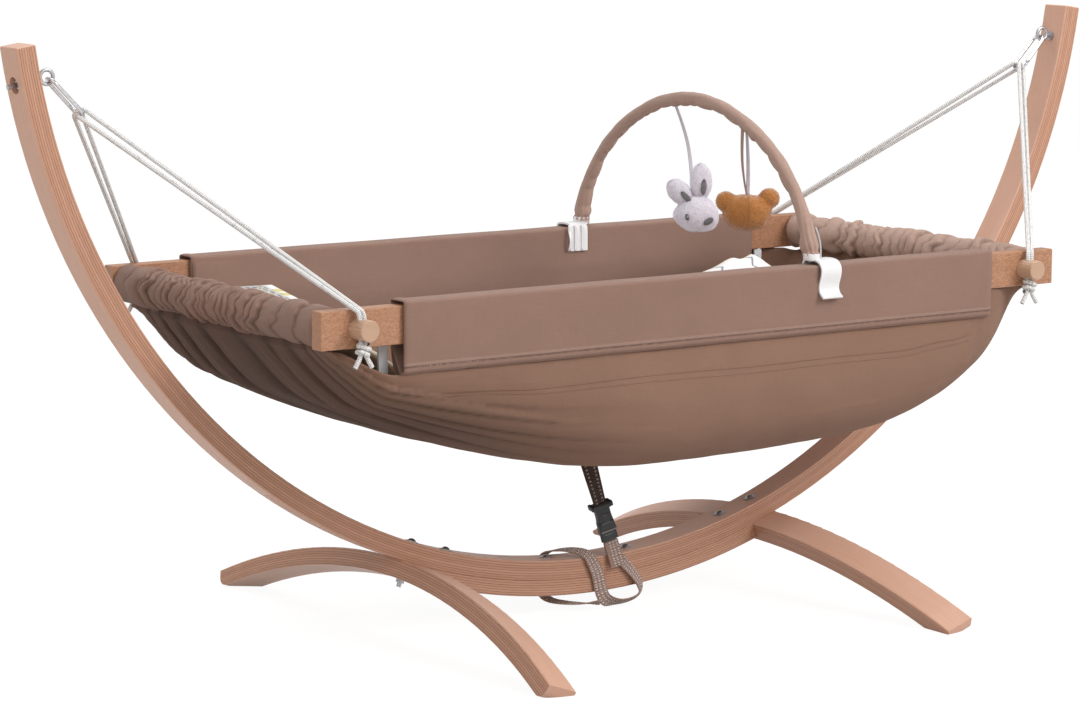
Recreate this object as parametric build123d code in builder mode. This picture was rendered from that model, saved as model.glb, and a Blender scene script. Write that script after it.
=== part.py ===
"""Baby hammock: a cloth cradle on two rails, hung by ropes from a bentwood arc stand.

X runs along the hammock, Y away from its front, Z up.  The origin is on the floor,
midway between the feet.  Millimetres.
"""

import math
import os

from build123d import *

os.makedirs("parts", exist_ok=True)

# Driving dimensions of the stand
arc_radius = 790.0            # inner face of the arc
arc_floor_gap = 23.0          # centre beam above the floor
arm_thickness = 25.0
arm_end_angle = 81.5          # from the bottom of the arc to the arm's top end
beam_width = 42.0
centre_beam_thickness = 20.0
edge_round = 2.0
butt_gap = 0.4                # glue line where the two arms meet
foot_angle = 19.5             # place of each foot along the arc
foot_reach = 371.0            # half of a foot's length
foot_radius = 857.0           # top face of the arched foot
foot_width = 40.0
foot_thickness = 23.0
toe_round = 13.0
seat_depth = 1.0              # shallow seat of the arc in the foot
seat_clearance = 0.3

# Driving dimensions of the fasteners
bolt_radius = 3.0
bolt_clearance = 0.2
head_radius = 5.6
head_height = 3.2
washer_radius = 8.0
washer_thickness = 1.2
bolt_seat_gap = 0.06          # flat washer on a curved face
nut_across = 10.0
nut_height = 5.0
bolt_tip = 4.5                # thread past the nut
beam_bolt_angle = 15.7
middle_bolt_angle = 4.5
sleeve_nut_radius = 4.4
sleeve_nut_length = 12.0
sleeve_flange_radius = 7.0
sleeve_flange_thickness = 1.2

# Driving dimensions of the eyes and the snap hooks
eye_angle = 78.4
eye_standoff = 16.5           # ring centre from the arm's inner face
eye_ring_radius = 8.2
eye_wire_radius = 2.3
eye_collar_radius = 6.0
eye_collar_height = 2.0
counterbore_radius = 10.0
counterbore_depth = 9.0
stud_tip = 9.0                # thread past the arm's outer face
hook_length = 60.0            # wire centre to wire centre
hook_top_radius = 9.0
hook_bottom_radius = 10.0
hook_wire_radius = 2.4
hook_contact_gap = 0.3
nose_length = 6.0
gate_gap = 0.4
gate_radius = 2.4
pivot_setback = 3.0           # rivet from the bottom bend
tongue_thickness = 2.0
tongue_clearance = 0.15
rivet_radius = 1.0
rivet_clearance = 0.05

# Driving dimensions of the ropes and pegs
rope_diameter = 5.5
strand_gap = 0.4
rope_bend_radius = 18.0
peg_radius = 12.5
peg_length = 26.0
peg_edge = 1.0
peg_setback = 49.0            # from the rail's end
peg_hole_setback = 11.0       # cross hole from the rail's face
peg_tenon_radius = 6.0
peg_tenon_length = 12.0
tenon_clearance = 0.05
knot_radius = 7.4
knot_wrap_radius = 3.2
knot_height = 16.0
tail_length = 17.0
tail_splay_angle = 24.0       # from upright

# Driving dimensions of the cradle's wood
rail_end_clearance = 111.42   # from the rail's end to the arm's inner face
rail_height = 44.0
rail_thickness = 20.0
rail_y = 242.0                # rail's middle from the centre line
rail_edge = 0.8
bar_setback = 23.0            # from the rail's end
bar_width = 16.0
bar_height = 30.0
bar_round = 3.0
mortise_depth = 6.0

# Driving dimensions of the cloth
cloth_thickness = 2.5
cloth_clearance = 0.6
cloth_slack = 1.5             # cloth above the rail's top
sleeve_setback = 108.0        # rail left bare at each end
hem_drop = 32.0               # hem below the rail
belly_clearance = 127.0       # sling's lowest point above the arc's inner face
sling_depth = 171.0           # lowest point below the hem's edge
sling_gap = 1.0
end_sleeve_peak = 24.0
end_sleeve_valley = 20.0
end_sleeve_folds = 15
end_sleeve_gap = 0.5
mattress_inset = 47.0         # mattress's edge from the rail's inner face
mattress_thickness = 34.0
mattress_side = 18.0
mattress_gap = 1.5
tape_width = 12.0
tape_thickness = 1.2
long_tape_drop = 35.0         # below the rail, at the front left
short_tape_drop = 14.0        # below the rail, at the back right

# Driving dimensions of the toy arch
arch_x = 162.0
arch_base_shift = 1.0         # rod's foot outside the rail's middle
arch_shoulder_inset = 24.0    # corner of its shoulder, before rounding
arch_shoulder_rise = 118.0    # above the rails' tops
arch_shoulder_radius = 205.0
arch_peak_rise = 217.0        # corner of its peak, before rounding
arch_top_radius = 245.0
cover_radius = 7.5
core_radius = 4.0
core_clearance = 0.1
cuff_radius = 10.5
cuff_length = 60.0
clip_width = 32.0
clip_shift = 14.0             # clip's middle from the arch's plane
clip_plate = 3.0
clip_block = 6.0
clip_gap = 0.4
clip_drop = 40.0              # bottom of the outer plate below the clip's top
clip_inner_drop = 51.0
clip_lip = 3.0
clip_lip_height = 9.0
clip_boss_height = 8.0

# Driving dimensions of the toys
toy_yaw_angle = -33.4         # slant of the toys' faces
rabbit_share = 0.56           # place of the ribbon along the arch
rabbit_y = -10.6
rabbit_rise = 45.0            # above the rails' tops
rabbit_half = 25.0
rabbit_radius = 19.0
bear_share = 0.328
bear_y = -113.0
bear_rise = 58.5
bear_half = 25.0
bear_radius = 19.5
toy_fullness_share = 0.76     # a lobe's fullness near its start
ribbon_width = 5.0
ribbon_thickness = 1.2
ribbon_clearance = 0.4

# Driving dimensions of the strap
strap_width = 20.0
strap_thickness = 1.6
strap_end_x = 30.0            # sewn end of the lower webbing
strap_end_y = -27.0
strap_end_drop = 13.0         # sewn end below the arc's inner face
strap_gap = 0.3
buckle_place = 64.0           # from the belly, along the strap
socket_length = 35.0
socket_width = 26.0
socket_thickness = 8.0
socket_waist = 21.0
socket_wall = 1.6
plug_base_length = 12.0
plug_width = 24.0
plug_thickness = 6.0
prong_length = 16.0
prong_width = 5.0
prong_thickness = 3.4
buckle_clearance = 0.3
hitch_turn_angle = 30.0       # slant of the hitch across the beam
hitch_x = -31.0
hitch_half = 31.0
hitch_low = 6.0
hitch_corner = 5.0
hitch_width = 17.0
bight_left = -3.0             # corners of the hanging bight, before rounding
bight_right = 78.0
bight_low = 9.0
bight_left_radius = 14.0
bight_right_radius = 28.0
overrun = 5.0                 # how far every cut runs past its piece

# Sizes that follow
arc_outer = arc_radius + arm_thickness
beam_outer = arc_outer + centre_beam_thickness
arc_centre_height = beam_outer + arc_floor_gap
arc_bottom = arc_centre_height - arc_radius
sling_top = arc_bottom + belly_clearance + cloth_thickness + sling_depth
hem_height = sling_top + cloth_thickness + sling_gap
rail_bottom = hem_height + hem_drop
rail_top = rail_bottom + rail_height
rail_middle = rail_top - rail_height / 2
rail_inner_face = rail_y - rail_thickness / 2
rail_outer_face = rail_y + rail_thickness / 2
arm_room = math.sqrt(arc_radius**2 - (arc_centre_height - rail_middle) ** 2)
rail_length = 2 * (arm_room - rail_end_clearance)
peg_x = rail_length / 2 - peg_setback
bar_x = rail_length / 2 - bar_setback
sleeve_half = rail_length / 2 - sleeve_setback
mattress_half_width = rail_inner_face - mattress_inset
arch_base_half = rail_y + arch_base_shift
arch_shoulder_half = rail_y - arch_shoulder_inset
arch_shoulder_height = rail_top + arch_shoulder_rise
arch_peak_height = rail_top + arch_peak_rise
rabbit_height = rail_top + rabbit_rise
bear_height = rail_top + bear_rise
strap_end_height = arc_bottom - strap_end_drop


def polar(radius, angle):
    """A point on the plane of the arc, by its angle from the bottom."""
    turn = math.radians(angle)
    return Vector(radius * math.sin(turn), 0, arc_centre_height - radius * math.cos(turn))


def outward(angle):
    """The direction square to the arc, away from its centre."""
    turn = math.radians(angle)
    return Vector(math.sin(turn), 0, -math.cos(turn))


def along(angle):
    """The direction along the arc, towards +X."""
    turn = math.radians(angle)
    return Vector(math.cos(turn), 0, math.sin(turn))


def square_plane(angle, radius):
    """A plane square to the bolts of the arc; its normal points outwards."""
    return Plane(origin=polar(radius, angle), x_dir=along(angle), z_dir=outward(angle))


def section_plane(angle, radius):
    """A plane through a bolt's axis; its Y points to the arc's centre."""
    return Plane(origin=polar(radius, angle), x_dir=along(angle), z_dir=(0, -1, 0))


def drill(angle, start_radius, end_radius, hole_radius):
    """Cut a round hole square to the arc, between two radii."""
    with BuildSketch(square_plane(angle, start_radius)) as section:
        Circle(hole_radius)
    extrude(section.sketch, amount=end_radius - start_radius, mode=Mode.SUBTRACT)


def disc(plane, height, radius, bore):
    """A washer or a plain ring on a plane."""
    with BuildSketch(plane) as section:
        Circle(radius)
        Circle(bore, mode=Mode.SUBTRACT)
    extrude(section.sketch, amount=height)


def hex_nut(plane, height, across, bore):
    """A hexagonal nut on a plane."""
    with BuildSketch(plane) as section:
        RegularPolygon(across / 2, 6, major_radius=False)
        Circle(bore, mode=Mode.SUBTRACT)
    extrude(section.sketch, amount=height)


def save(piece, label):
    """Name a finished piece and write it out."""
    piece.part.label = label
    export_step(piece.part, f"parts/{label}.step")


# Arms: two laminated halves of the arc, butted at the bottom centre.
# Each is bored for its eye, its foot bolt and its two beam bolts.
with BuildPart() as right_arm:
    with BuildSketch(Plane.XZ):
        with BuildLine():
            outer_arc = CenterArc((0, arc_centre_height), arc_outer, -90, arm_end_angle)
            inner_arc = CenterArc((0, arc_centre_height), arc_radius, -90, arm_end_angle)
            Line(outer_arc @ 0, inner_arc @ 0)
            Line(outer_arc @ 1, inner_arc @ 1)
        make_face()
    extrude(amount=beam_width / 2, both=True)
    split(bisect_by=Plane.YZ.offset(butt_gap / 2), keep=Keep.TOP)
    long_edges = right_arm.edges().filter_by(GeomType.CIRCLE)
    top_edges = right_arm.faces().sort_by(Axis.Z)[-1].edges().filter_by(GeomType.LINE)
    fillet(long_edges + top_edges, edge_round)
    drill(eye_angle, arc_radius - overrun, arc_outer + overrun, bolt_radius + bolt_clearance)
    drill(eye_angle, arc_outer - counterbore_depth, arc_outer + overrun, counterbore_radius)
    for hole_angle in (foot_angle, beam_bolt_angle, middle_bolt_angle):
        drill(hole_angle, arc_radius - overrun, arc_outer + overrun, bolt_radius + bolt_clearance)
save(right_arm, "right_arm")

with BuildPart() as left_arm:
    mirror(right_arm.part, about=Plane.YZ)
save(left_arm, "left_arm")

# Centre beam: a second lamination under the arms, butted against both feet.
beam_top_angle = foot_angle - math.degrees(math.asin((foot_width / 2 + seat_clearance) / arc_outer))
beam_low_angle = foot_angle - math.degrees(math.asin((foot_width / 2 + seat_clearance) / beam_outer))
with BuildPart() as centre_beam:
    with BuildSketch(Plane.XZ):
        with BuildLine():
            top_arc = CenterArc((0, arc_centre_height), arc_outer, -90 - beam_top_angle, 2 * beam_top_angle)
            low_arc = CenterArc((0, arc_centre_height), beam_outer, -90 - beam_low_angle, 2 * beam_low_angle)
            Line(top_arc @ 0, low_arc @ 0)
            Line(top_arc @ 1, low_arc @ 1)
        make_face()
    extrude(amount=beam_width / 2, both=True)
    low_edges = centre_beam.edges().filter_by(GeomType.CIRCLE).sort_by(SortBy.RADIUS)[-2:]
    fillet(low_edges, edge_round)
    for hole_angle in (beam_bolt_angle, middle_bolt_angle):
        for side in (-1, 1):
            drill(side * hole_angle, arc_outer - overrun, beam_outer + overrun,
                  sleeve_nut_radius + bolt_clearance)
            drill(side * hole_angle, beam_outer - sleeve_flange_thickness - bolt_clearance,
                  beam_outer + overrun, sleeve_flange_radius + bolt_clearance)
save(centre_beam, "centre_beam")

# Feet: arched cross beams square to the arc, so they lean outwards with it.  The toes
# are rounded underneath and planed level with the floor; the arc sits in a shallow seat.
foot_plane = Plane(origin=polar(arc_outer, foot_angle), x_dir=(0, 1, 0), z_dir=along(foot_angle))
foot_half_turn = math.degrees(math.asin(foot_reach / foot_radius))
with BuildPart() as right_foot:
    with BuildSketch(foot_plane):
        with BuildLine():
            crown = CenterArc((0, seat_depth - foot_radius), foot_radius, 90 - foot_half_turn,
                              2 * foot_half_turn)
            sole = CenterArc((0, seat_depth - foot_radius), foot_radius - foot_thickness,
                             90 - foot_half_turn, 2 * foot_half_turn)
            Line(crown @ 0, sole @ 0)
            Line(crown @ 1, sole @ 1)
        make_face()
    extrude(amount=foot_width / 2, both=True)
    cross_edges = right_foot.edges().filter_by(Axis((0, 0, 0), foot_plane.z_dir))
    fillet(cross_edges.sort_by(Axis.Z)[:2], toe_round)
    crown_edges = right_foot.edges().filter_by(GeomType.CIRCLE).sort_by(SortBy.RADIUS)[-2:]
    fillet(crown_edges, edge_round)
    split(bisect_by=Plane.XY, keep=Keep.TOP)
    with BuildSketch(Plane.XZ):
        with Locations((0, arc_centre_height)):
            Circle(arc_outer)
    extrude(amount=beam_width / 2 + seat_clearance, both=True, mode=Mode.SUBTRACT)
    drill(foot_angle, arc_outer - overrun, arc_outer + foot_thickness + overrun,
          bolt_radius + bolt_clearance)
save(right_foot, "right_foot")

with BuildPart() as left_foot:
    mirror(right_foot.part, about=Plane.YZ)
save(left_foot, "left_foot")


# Bolts: domed heads on washers inside the arc, one through each foot and two on
# each side through the centre beam.
def dome_bolt(angle, length):
    """A bolt with a domed head, turned about its axis."""
    plane = section_plane(angle, arc_radius - washer_thickness - 2 * bolt_seat_gap)
    with BuildSketch(plane) as section:
        with BuildLine():
            Line((0, head_height), (0, -length))
            Line((0, -length), (bolt_radius, -length))
            Line((bolt_radius, -length), (bolt_radius, 0))
            Line((bolt_radius, 0), (head_radius, 0))
            RadiusArc((head_radius, 0), (0, head_height),
                      -(head_radius**2 + head_height**2) / (2 * head_height))
        make_face()
    revolve(section.sketch, axis=Axis(plane.origin, plane.y_dir))


foot_bolt_length = washer_thickness + arm_thickness + foot_thickness + nut_height + bolt_tip
beam_bolt_length = washer_thickness + arm_thickness + centre_beam_thickness - sleeve_flange_thickness
with BuildPart() as foot_bolts:
    for side in (-1, 1):
        dome_bolt(side * foot_angle, foot_bolt_length)
save(foot_bolts, "foot_bolts")

with BuildPart() as foot_washers:
    for side in (-1, 1):
        disc(square_plane(side * foot_angle, arc_radius - washer_thickness - bolt_seat_gap),
             washer_thickness, washer_radius, bolt_radius + bolt_clearance)
save(foot_washers, "foot_washers")

with BuildPart() as foot_nuts:
    for side in (-1, 1):
        hex_nut(square_plane(side * foot_angle, arc_outer + foot_thickness - seat_depth + bolt_seat_gap),
                nut_height, nut_across, bolt_radius)
save(foot_nuts, "foot_nuts")

with BuildPart() as beam_bolts:
    for bolt_angle in (-beam_bolt_angle, -middle_bolt_angle, middle_bolt_angle, beam_bolt_angle):
        dome_bolt(bolt_angle, beam_bolt_length)
save(beam_bolts, "beam_bolts")

with BuildPart() as beam_washers:
    for bolt_angle in (-beam_bolt_angle, -middle_bolt_angle, middle_bolt_angle, beam_bolt_angle):
        disc(square_plane(bolt_angle, arc_radius - washer_thickness - bolt_seat_gap),
             washer_thickness, washer_radius, bolt_radius + bolt_clearance)
save(beam_washers, "beam_washers")

with BuildPart() as sleeve_nuts:
    for bolt_angle in (-beam_bolt_angle, -middle_bolt_angle, middle_bolt_angle, beam_bolt_angle):
        disc(square_plane(bolt_angle, beam_outer - sleeve_flange_thickness),
             sleeve_flange_thickness, sleeve_flange_radius, bolt_radius)
        disc(square_plane(bolt_angle, beam_outer - sleeve_nut_length),
             sleeve_nut_length, sleeve_nut_radius, bolt_radius)
save(sleeve_nuts, "sleeve_nuts")


# Eye bolts: a ring in the plane of the arc, with its stud through the arm and a nut
# in the counterbore of the outer face.
def eye_centre(side):
    """The middle of one eye's ring."""
    return polar(arc_radius - eye_standoff, side * eye_angle)


with BuildPart() as eye_bolts:
    for side in (-1, 1):
        ring_plane = Plane(origin=eye_centre(side), x_dir=outward(side * eye_angle),
                           z_dir=along(side * eye_angle))
        with BuildSketch(ring_plane):
            with Locations((eye_ring_radius, 0)):
                Circle(eye_wire_radius)
        revolve(axis=Axis(ring_plane.origin, (0, 1, 0)))
        with BuildSketch(square_plane(side * eye_angle, arc_radius - eye_standoff + eye_ring_radius)):
            Circle(bolt_radius)
        extrude(amount=eye_standoff - eye_ring_radius + arm_thickness + stud_tip)
        with BuildSketch(square_plane(side * eye_angle, arc_radius - eye_collar_height - bolt_seat_gap)):
            Circle(eye_collar_radius)
        extrude(amount=eye_collar_height)
save(eye_bolts, "eye_bolts")

with BuildPart() as eye_nuts:
    for side in (-1, 1):
        hex_nut(square_plane(side * eye_angle, arc_outer - counterbore_depth), nut_height, nut_across,
                bolt_radius)
save(eye_nuts, "eye_nuts")

# Where each rope leaves its peg, and the line of pull from each eye
peg_hole_y = rail_outer_face + peg_hole_setback
mouth_height = rail_middle + peg_radius


def pull(side):
    """The direction in which a snap hook hangs, in the plane of the arc."""
    return (Vector(side * peg_x, 0, mouth_height) - eye_centre(side)).normalized()


def hook_plane(side):
    """The plane of a snap hook: X to its gate, Y along the pull, from the top bend."""
    drop = eye_ring_radius - eye_wire_radius - hook_wire_radius - hook_contact_gap
    top = eye_centre(side) + pull(side) * drop
    gate_side = Vector(0, -side, 0)
    return Plane(origin=top, x_dir=gate_side, z_dir=gate_side.cross(pull(side)))


# Snap hooks: one bent wire with two bends of different radius, open on the gate's side.
# Its lower end is flattened to a tongue that takes the gate's rivet.
hook_run = hook_length - hook_top_radius - hook_bottom_radius
lean = (hook_top_radius - hook_bottom_radius) / hook_run
spread = math.sqrt(1 - lean**2)
gate_top = Vector(hook_top_radius * spread, hook_top_radius * (1 + lean))
gate_low = Vector(hook_bottom_radius * spread, hook_length - hook_bottom_radius * (1 - lean))
gate_line = (gate_low - gate_top).normalized()
nose_tip = gate_top + gate_line * nose_length
pivot = gate_low - gate_line * pivot_setback
shoulder = pivot + gate_line * pivot_setback
gate_tip = nose_tip + gate_line * gate_gap


def make_hook(side):
    """One hook's bent wire and its tongue."""
    plane = hook_plane(side)
    tongue_half = hook_wire_radius - tongue_clearance
    tongue_side = Vector(-gate_line.Y, gate_line.X) * tongue_half
    with BuildLine(plane) as wire:
        Line(tuple(nose_tip), tuple(gate_top))
        ThreePointArc(tuple(gate_top), (0, 0), (-gate_top.X, gate_top.Y))
        Line((-gate_top.X, gate_top.Y), (-gate_low.X, gate_low.Y))
        ThreePointArc((-gate_low.X, gate_low.Y), (0, hook_length), tuple(gate_low))
    with BuildSketch(Plane(origin=wire.line @ 0, z_dir=wire.line % 0)) as section:
        Circle(hook_wire_radius)
    sweep(section.sketch, path=wire.wire())
    with BuildSketch(plane) as section:
        with Locations(pivot):
            Circle(tongue_half)
        with BuildLine():
            Polyline(pivot + tongue_side, pivot - tongue_side, shoulder - tongue_side,
                     shoulder + tongue_side, close=True)
        make_face()
        with Locations(pivot):
            Circle(rivet_radius + rivet_clearance, mode=Mode.SUBTRACT)
    extrude(section.sketch, amount=tongue_thickness / 2, both=True)


with BuildPart() as snap_hooks:
    for side in (-1, 1):
        make_hook(side)
save(snap_hooks, "snap_hooks")


# Gates: a round rod with a rounded, forked foot over the hook's tongue.
def make_gate(side):
    """One gate, in the place where it rests shut."""
    plane = hook_plane(side)
    fork_depth = hook_wire_radius + tongue_clearance
    with BuildLine(plane) as rod:
        Line(tuple(pivot), tuple(gate_tip))
    with BuildSketch(Plane(origin=rod.line @ 0, z_dir=rod.line % 0)) as section:
        Circle(gate_radius)
    extrude(section.sketch, amount=rod.wire().length)
    with Locations(rod.line @ 0):
        Sphere(gate_radius)
    with BuildSketch(plane) as section:
        with BuildLine():
            Polyline(pivot - gate_line * fork_depth + Vector(fork_depth, 0),
                     pivot - gate_line * fork_depth - Vector(fork_depth, 0),
                     pivot + gate_line * fork_depth - Vector(fork_depth, 0),
                     pivot + gate_line * fork_depth + Vector(fork_depth, 0), close=True)
        make_face()
    extrude(section.sketch, amount=tongue_thickness / 2 + tongue_clearance, both=True, mode=Mode.SUBTRACT)
    with BuildSketch(plane) as section:
        with Locations(pivot):
            Circle(rivet_radius + rivet_clearance)
    extrude(section.sketch, amount=gate_radius + overrun, both=True, mode=Mode.SUBTRACT)


with BuildPart() as left_gate:
    make_gate(-1)
save(left_gate, "left_gate")

with BuildPart() as right_gate:
    make_gate(1)
save(right_gate, "right_gate")

with BuildPart() as gate_rivets:
    for side in (-1, 1):
        with BuildSketch(hook_plane(side)):
            with Locations(pivot):
                Circle(rivet_radius)
        extrude(amount=gate_radius, both=True)
save(gate_rivets, "gate_rivets")

# Ropes: each peg has one rope, doubled round the hook's lower bend.  Both strands run
# straight and taut to the peg's top, turn down through its cross hole and are knotted.
rope_radius = rope_diameter / 2
strand_offset = rope_radius + strand_gap / 2
loop_offset = hook_wire_radius + strand_gap + rope_radius
loop_bend_radius = loop_offset * 0.96
peg_bottom = rail_middle - peg_radius


def make_rope(side, end):
    """The doubled rope from one hook to the peg on the front (-1) or back (1) rail."""
    plane = hook_plane(side)
    bend_centre = plane.from_local_coords(Vector(0, hook_length - hook_bottom_radius, 0))
    mouth = Vector(side * peg_x, end * peg_hole_y, mouth_height + strand_offset)
    pull_line = (mouth - bend_centre).normalized()
    turn_end = bend_centre + pull_line * (hook_bottom_radius - loop_offset)
    across = plane.z_dir * loop_offset
    sideways = Vector(side * strand_offset, 0, 0)
    drop = Vector(0, 0, peg_bottom - mouth_height - strand_offset)
    rise = Vector(0, 0, strand_offset)
    points = [mouth + sideways + drop, mouth + sideways + rise, turn_end + across,
              turn_end - across, mouth - sideways + rise, mouth - sideways + drop]
    radii = [rope_bend_radius, loop_bend_radius, loop_bend_radius, rope_bend_radius]
    print("rope radii", [round(radius, 1) for radius in radii])
    with BuildLine() as route:
        FilletPolyline(*points, radius=radii)
    with BuildSketch(Plane(origin=route.line @ 0, z_dir=route.line % 0)) as section:
        Circle(rope_radius)
    sweep(section.sketch, path=route.line)
    print("rope length", round(route.wire().length, 1))


with BuildPart() as front_left_rope:
    make_rope(-1, -1)
save(front_left_rope, "front_left_rope")

with BuildPart() as back_left_rope:
    make_rope(-1, 1)
save(back_left_rope, "back_left_rope")

with BuildPart() as front_right_rope:
    make_rope(1, -1)
save(front_right_rope, "front_right_rope")

with BuildPart() as back_right_rope:
    make_rope(1, 1)
save(back_right_rope, "back_right_rope")

# Knots: two wraps round the paired strands under each peg, with two cut tails.
with BuildPart() as rope_knots:
    for side in (-1, 1):
        for end in (-1, 1):
            knot_top = Vector(side * peg_x, end * peg_hole_y, peg_bottom - strand_gap)
            with BuildSketch(Plane(origin=knot_top, z_dir=(0, 0, -1))):
                Circle(knot_radius - knot_wrap_radius / 2)
            extrude(amount=knot_height)
            for wrap_share in (0.28, 0.72):
                with Locations(knot_top - Vector(0, 0, knot_height * wrap_share)):
                    Torus(knot_radius, knot_wrap_radius)
            for lean_side in (-1, 1):
                tail_turn = math.radians(tail_splay_angle) * lean_side
                tail_line = Vector(math.sin(tail_turn), 0, -math.cos(tail_turn))
                with BuildSketch(Plane(origin=knot_top - Vector(0, 0, knot_height - rope_radius)
                                       + Vector(lean_side * strand_offset, 0, 0), z_dir=tail_line)):
                    Circle(rope_radius)
                extrude(amount=tail_length)
save(rope_knots, "rope_knots")

# Pegs: turned dowels on tenons, with an upright cross hole for the two strands.
with BuildPart() as pegs:
    for side in (-1, 1):
        for end in (-1, 1):
            face = Plane(origin=(side * peg_x, end * rail_outer_face, rail_middle), x_dir=(1, 0, 0),
                         z_dir=(0, end, 0))
            with BuildSketch(face):
                Circle(peg_radius)
            extrude(amount=peg_length)
            with BuildSketch(face):
                Circle(peg_tenon_radius)
            extrude(amount=-peg_tenon_length)
            with BuildSketch(Plane.XY.offset(peg_bottom - overrun)):
                with Locations((side * peg_x, end * peg_hole_y)):
                    SlotOverall(2 * rope_diameter + 3 * strand_gap, rope_diameter + 2 * strand_gap)
            extrude(amount=2 * peg_radius + 2 * overrun, mode=Mode.SUBTRACT)
    rims = pegs.edges().filter_by(GeomType.CIRCLE).filter_by(
        lambda rim: abs(abs(rim.center().Y) - rail_outer_face - peg_length) < peg_edge / 2)
    chamfer(rims, peg_edge)
save(pegs, "pegs")


# Rails: plain bars with eased edges, mortised for the cross bars and bored for the pegs.
def make_rail(end):
    """The rail on the front (-1) or the back (1)."""
    with BuildSketch(Plane.XY.offset(rail_bottom)) as section:
        with Locations((0, end * rail_y)):
            Rectangle(rail_length, rail_thickness)
    extrude(section.sketch, amount=rail_height)
    chamfer(edges(), rail_edge)
    face = Plane(origin=(0, end * rail_inner_face, rail_middle), x_dir=(1, 0, 0), z_dir=(0, end, 0))
    with BuildSketch(face) as section:
        with Locations((-bar_x, 0), (bar_x, 0)):
            RectangleRounded(bar_width + 2 * tenon_clearance, bar_height + 2 * tenon_clearance, bar_round)
    extrude(section.sketch, amount=mortise_depth + tenon_clearance, mode=Mode.SUBTRACT)
    with BuildSketch(face.offset(rail_thickness)) as section:
        with Locations((-peg_x, 0), (peg_x, 0)):
            Circle(peg_tenon_radius + tenon_clearance)
    extrude(section.sketch, amount=-peg_tenon_length - tenon_clearance, mode=Mode.SUBTRACT)


with BuildPart() as front_rail:
    make_rail(-1)
save(front_rail, "front_rail")

with BuildPart() as back_rail:
    make_rail(1)
save(back_rail, "back_rail")

# Cross bars: rounded bars that end in the rails' mortises, inside the gathered sleeves.
with BuildPart() as cross_bars:
    for side in (-1, 1):
        with BuildSketch(Plane(origin=(side * bar_x, 0, rail_middle), x_dir=(1, 0, 0), z_dir=(0, 1, 0))):
            RectangleRounded(bar_width, bar_height, bar_round)
        extrude(amount=rail_inner_face + mortise_depth, both=True)
save(cross_bars, "cross_bars")


# Rail sleeves: the sling's edge comes up inside the rail, goes over its top and hangs
# as a flap down to the hem, so each rail lies in a flat pocket that closes below it.
def make_rail_sleeve(end):
    """The sleeve on the front (-1) or the back (1) rail."""
    hem_y = rail_outer_face - cloth_thickness
    pocket = [(end * hem_y, hem_height),
              (end * (rail_outer_face + cloth_clearance), hem_height + cloth_thickness),
              (end * (rail_outer_face + cloth_clearance), rail_top + cloth_slack),
              (end * (rail_inner_face - cloth_clearance), rail_top + cloth_slack),
              (end * (rail_inner_face - cloth_clearance), rail_bottom)]
    start = Plane.YZ.offset(-sleeve_half)
    with BuildSketch(start) as section:
        with BuildLine():
            Polyline(*pocket, close=True)
        make_face()
        offset(amount=cloth_thickness, kind=Kind.ARC)
    extrude(section.sketch, amount=2 * sleeve_half)
    with BuildSketch(start.offset(-overrun)) as section:
        with BuildLine():
            Polyline(*pocket, close=True)
        make_face()
    extrude(section.sketch, amount=2 * sleeve_half + 2 * overrun, mode=Mode.SUBTRACT)


with BuildPart() as front_sleeve:
    make_rail_sleeve(-1)
save(front_sleeve, "front_sleeve")

with BuildPart() as back_sleeve:
    make_rail_sleeve(1)
save(back_sleeve, "back_sleeve")


# Gathered end sleeves: cloth scrunched on the cross bars in uneven ring folds.
def make_end_sleeve(side):
    """The gathered sleeve on the left (-1) or the right (1) cross bar."""
    half = rail_inner_face - end_sleeve_gap
    axis_plane = Plane(origin=(side * bar_x, 0, rail_middle), x_dir=(0, 1, 0), z_dir=(1, 0, 0))
    pitch = 2 * half / end_sleeve_folds
    swell = end_sleeve_peak - end_sleeve_valley
    profile = [(-half, 0), (-half, end_sleeve_valley)]
    for fold in range(end_sleeve_folds):
        shift = 0.16 * math.sin(2.3 * fold + side)
        height_share = 0.8 + 0.2 * math.cos(1.7 * fold + side)
        start = -half + fold * pitch
        for place_share, rise_share in ((0.22, 0.8), (0.62, 1.0), (1.0, 0.0)):
            place = min(start + (place_share + shift * (1 - rise_share * 0.5)) * pitch, half)
            if place_share == 1.0 and fold == end_sleeve_folds - 1:
                place = half
            profile.append((place, end_sleeve_valley + swell * rise_share * height_share))
    profile.append((half, 0))
    with BuildSketch(axis_plane) as section:
        with BuildLine():
            Polyline(*profile, close=True)
        make_face()
    revolve(section.sketch, axis=Axis(axis_plane.origin, (0, 1, 0)))
    with BuildSketch(Plane(origin=(side * bar_x, 0, rail_middle), x_dir=(1, 0, 0), z_dir=(0, 1, 0))) as section:
        RectangleRounded(bar_width + 2 * cloth_clearance, bar_height + 2 * cloth_clearance, bar_round)
    extrude(section.sketch, amount=half + overrun, both=True, mode=Mode.SUBTRACT)


with BuildPart() as left_end_sleeve:
    make_end_sleeve(-1)
save(left_end_sleeve, "left_end_sleeve")

with BuildPart() as right_end_sleeve:
    make_end_sleeve(1)
save(right_end_sleeve, "right_end_sleeve")

# Sling: a boat of cloth between the hems, made of stations along X.  Its left end rises
# slowly in long pleats and its right end steeply; both ends pass under the sleeves.
pleats = 12
section_power_share = 2 / 3   # square, well rounded cross sections
sling_half = rail_outer_face - cloth_thickness
end_half = rail_inner_face - 2 * cloth_thickness
end_edge = rail_middle - end_sleeve_peak - sling_gap - cloth_thickness
free_share = 0.845            # where the sling leaves the rail sleeves
pleat_bulge = 11.0
left_stations = (-1.0, -0.965, -0.92, -0.87, -0.8, -0.7, -0.58, -0.44, -0.3, -0.14)
right_stations = (0.02, 0.2, 0.38, 0.54, 0.67, 0.77, 0.85, 0.91, 0.96, 1.0)


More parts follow.
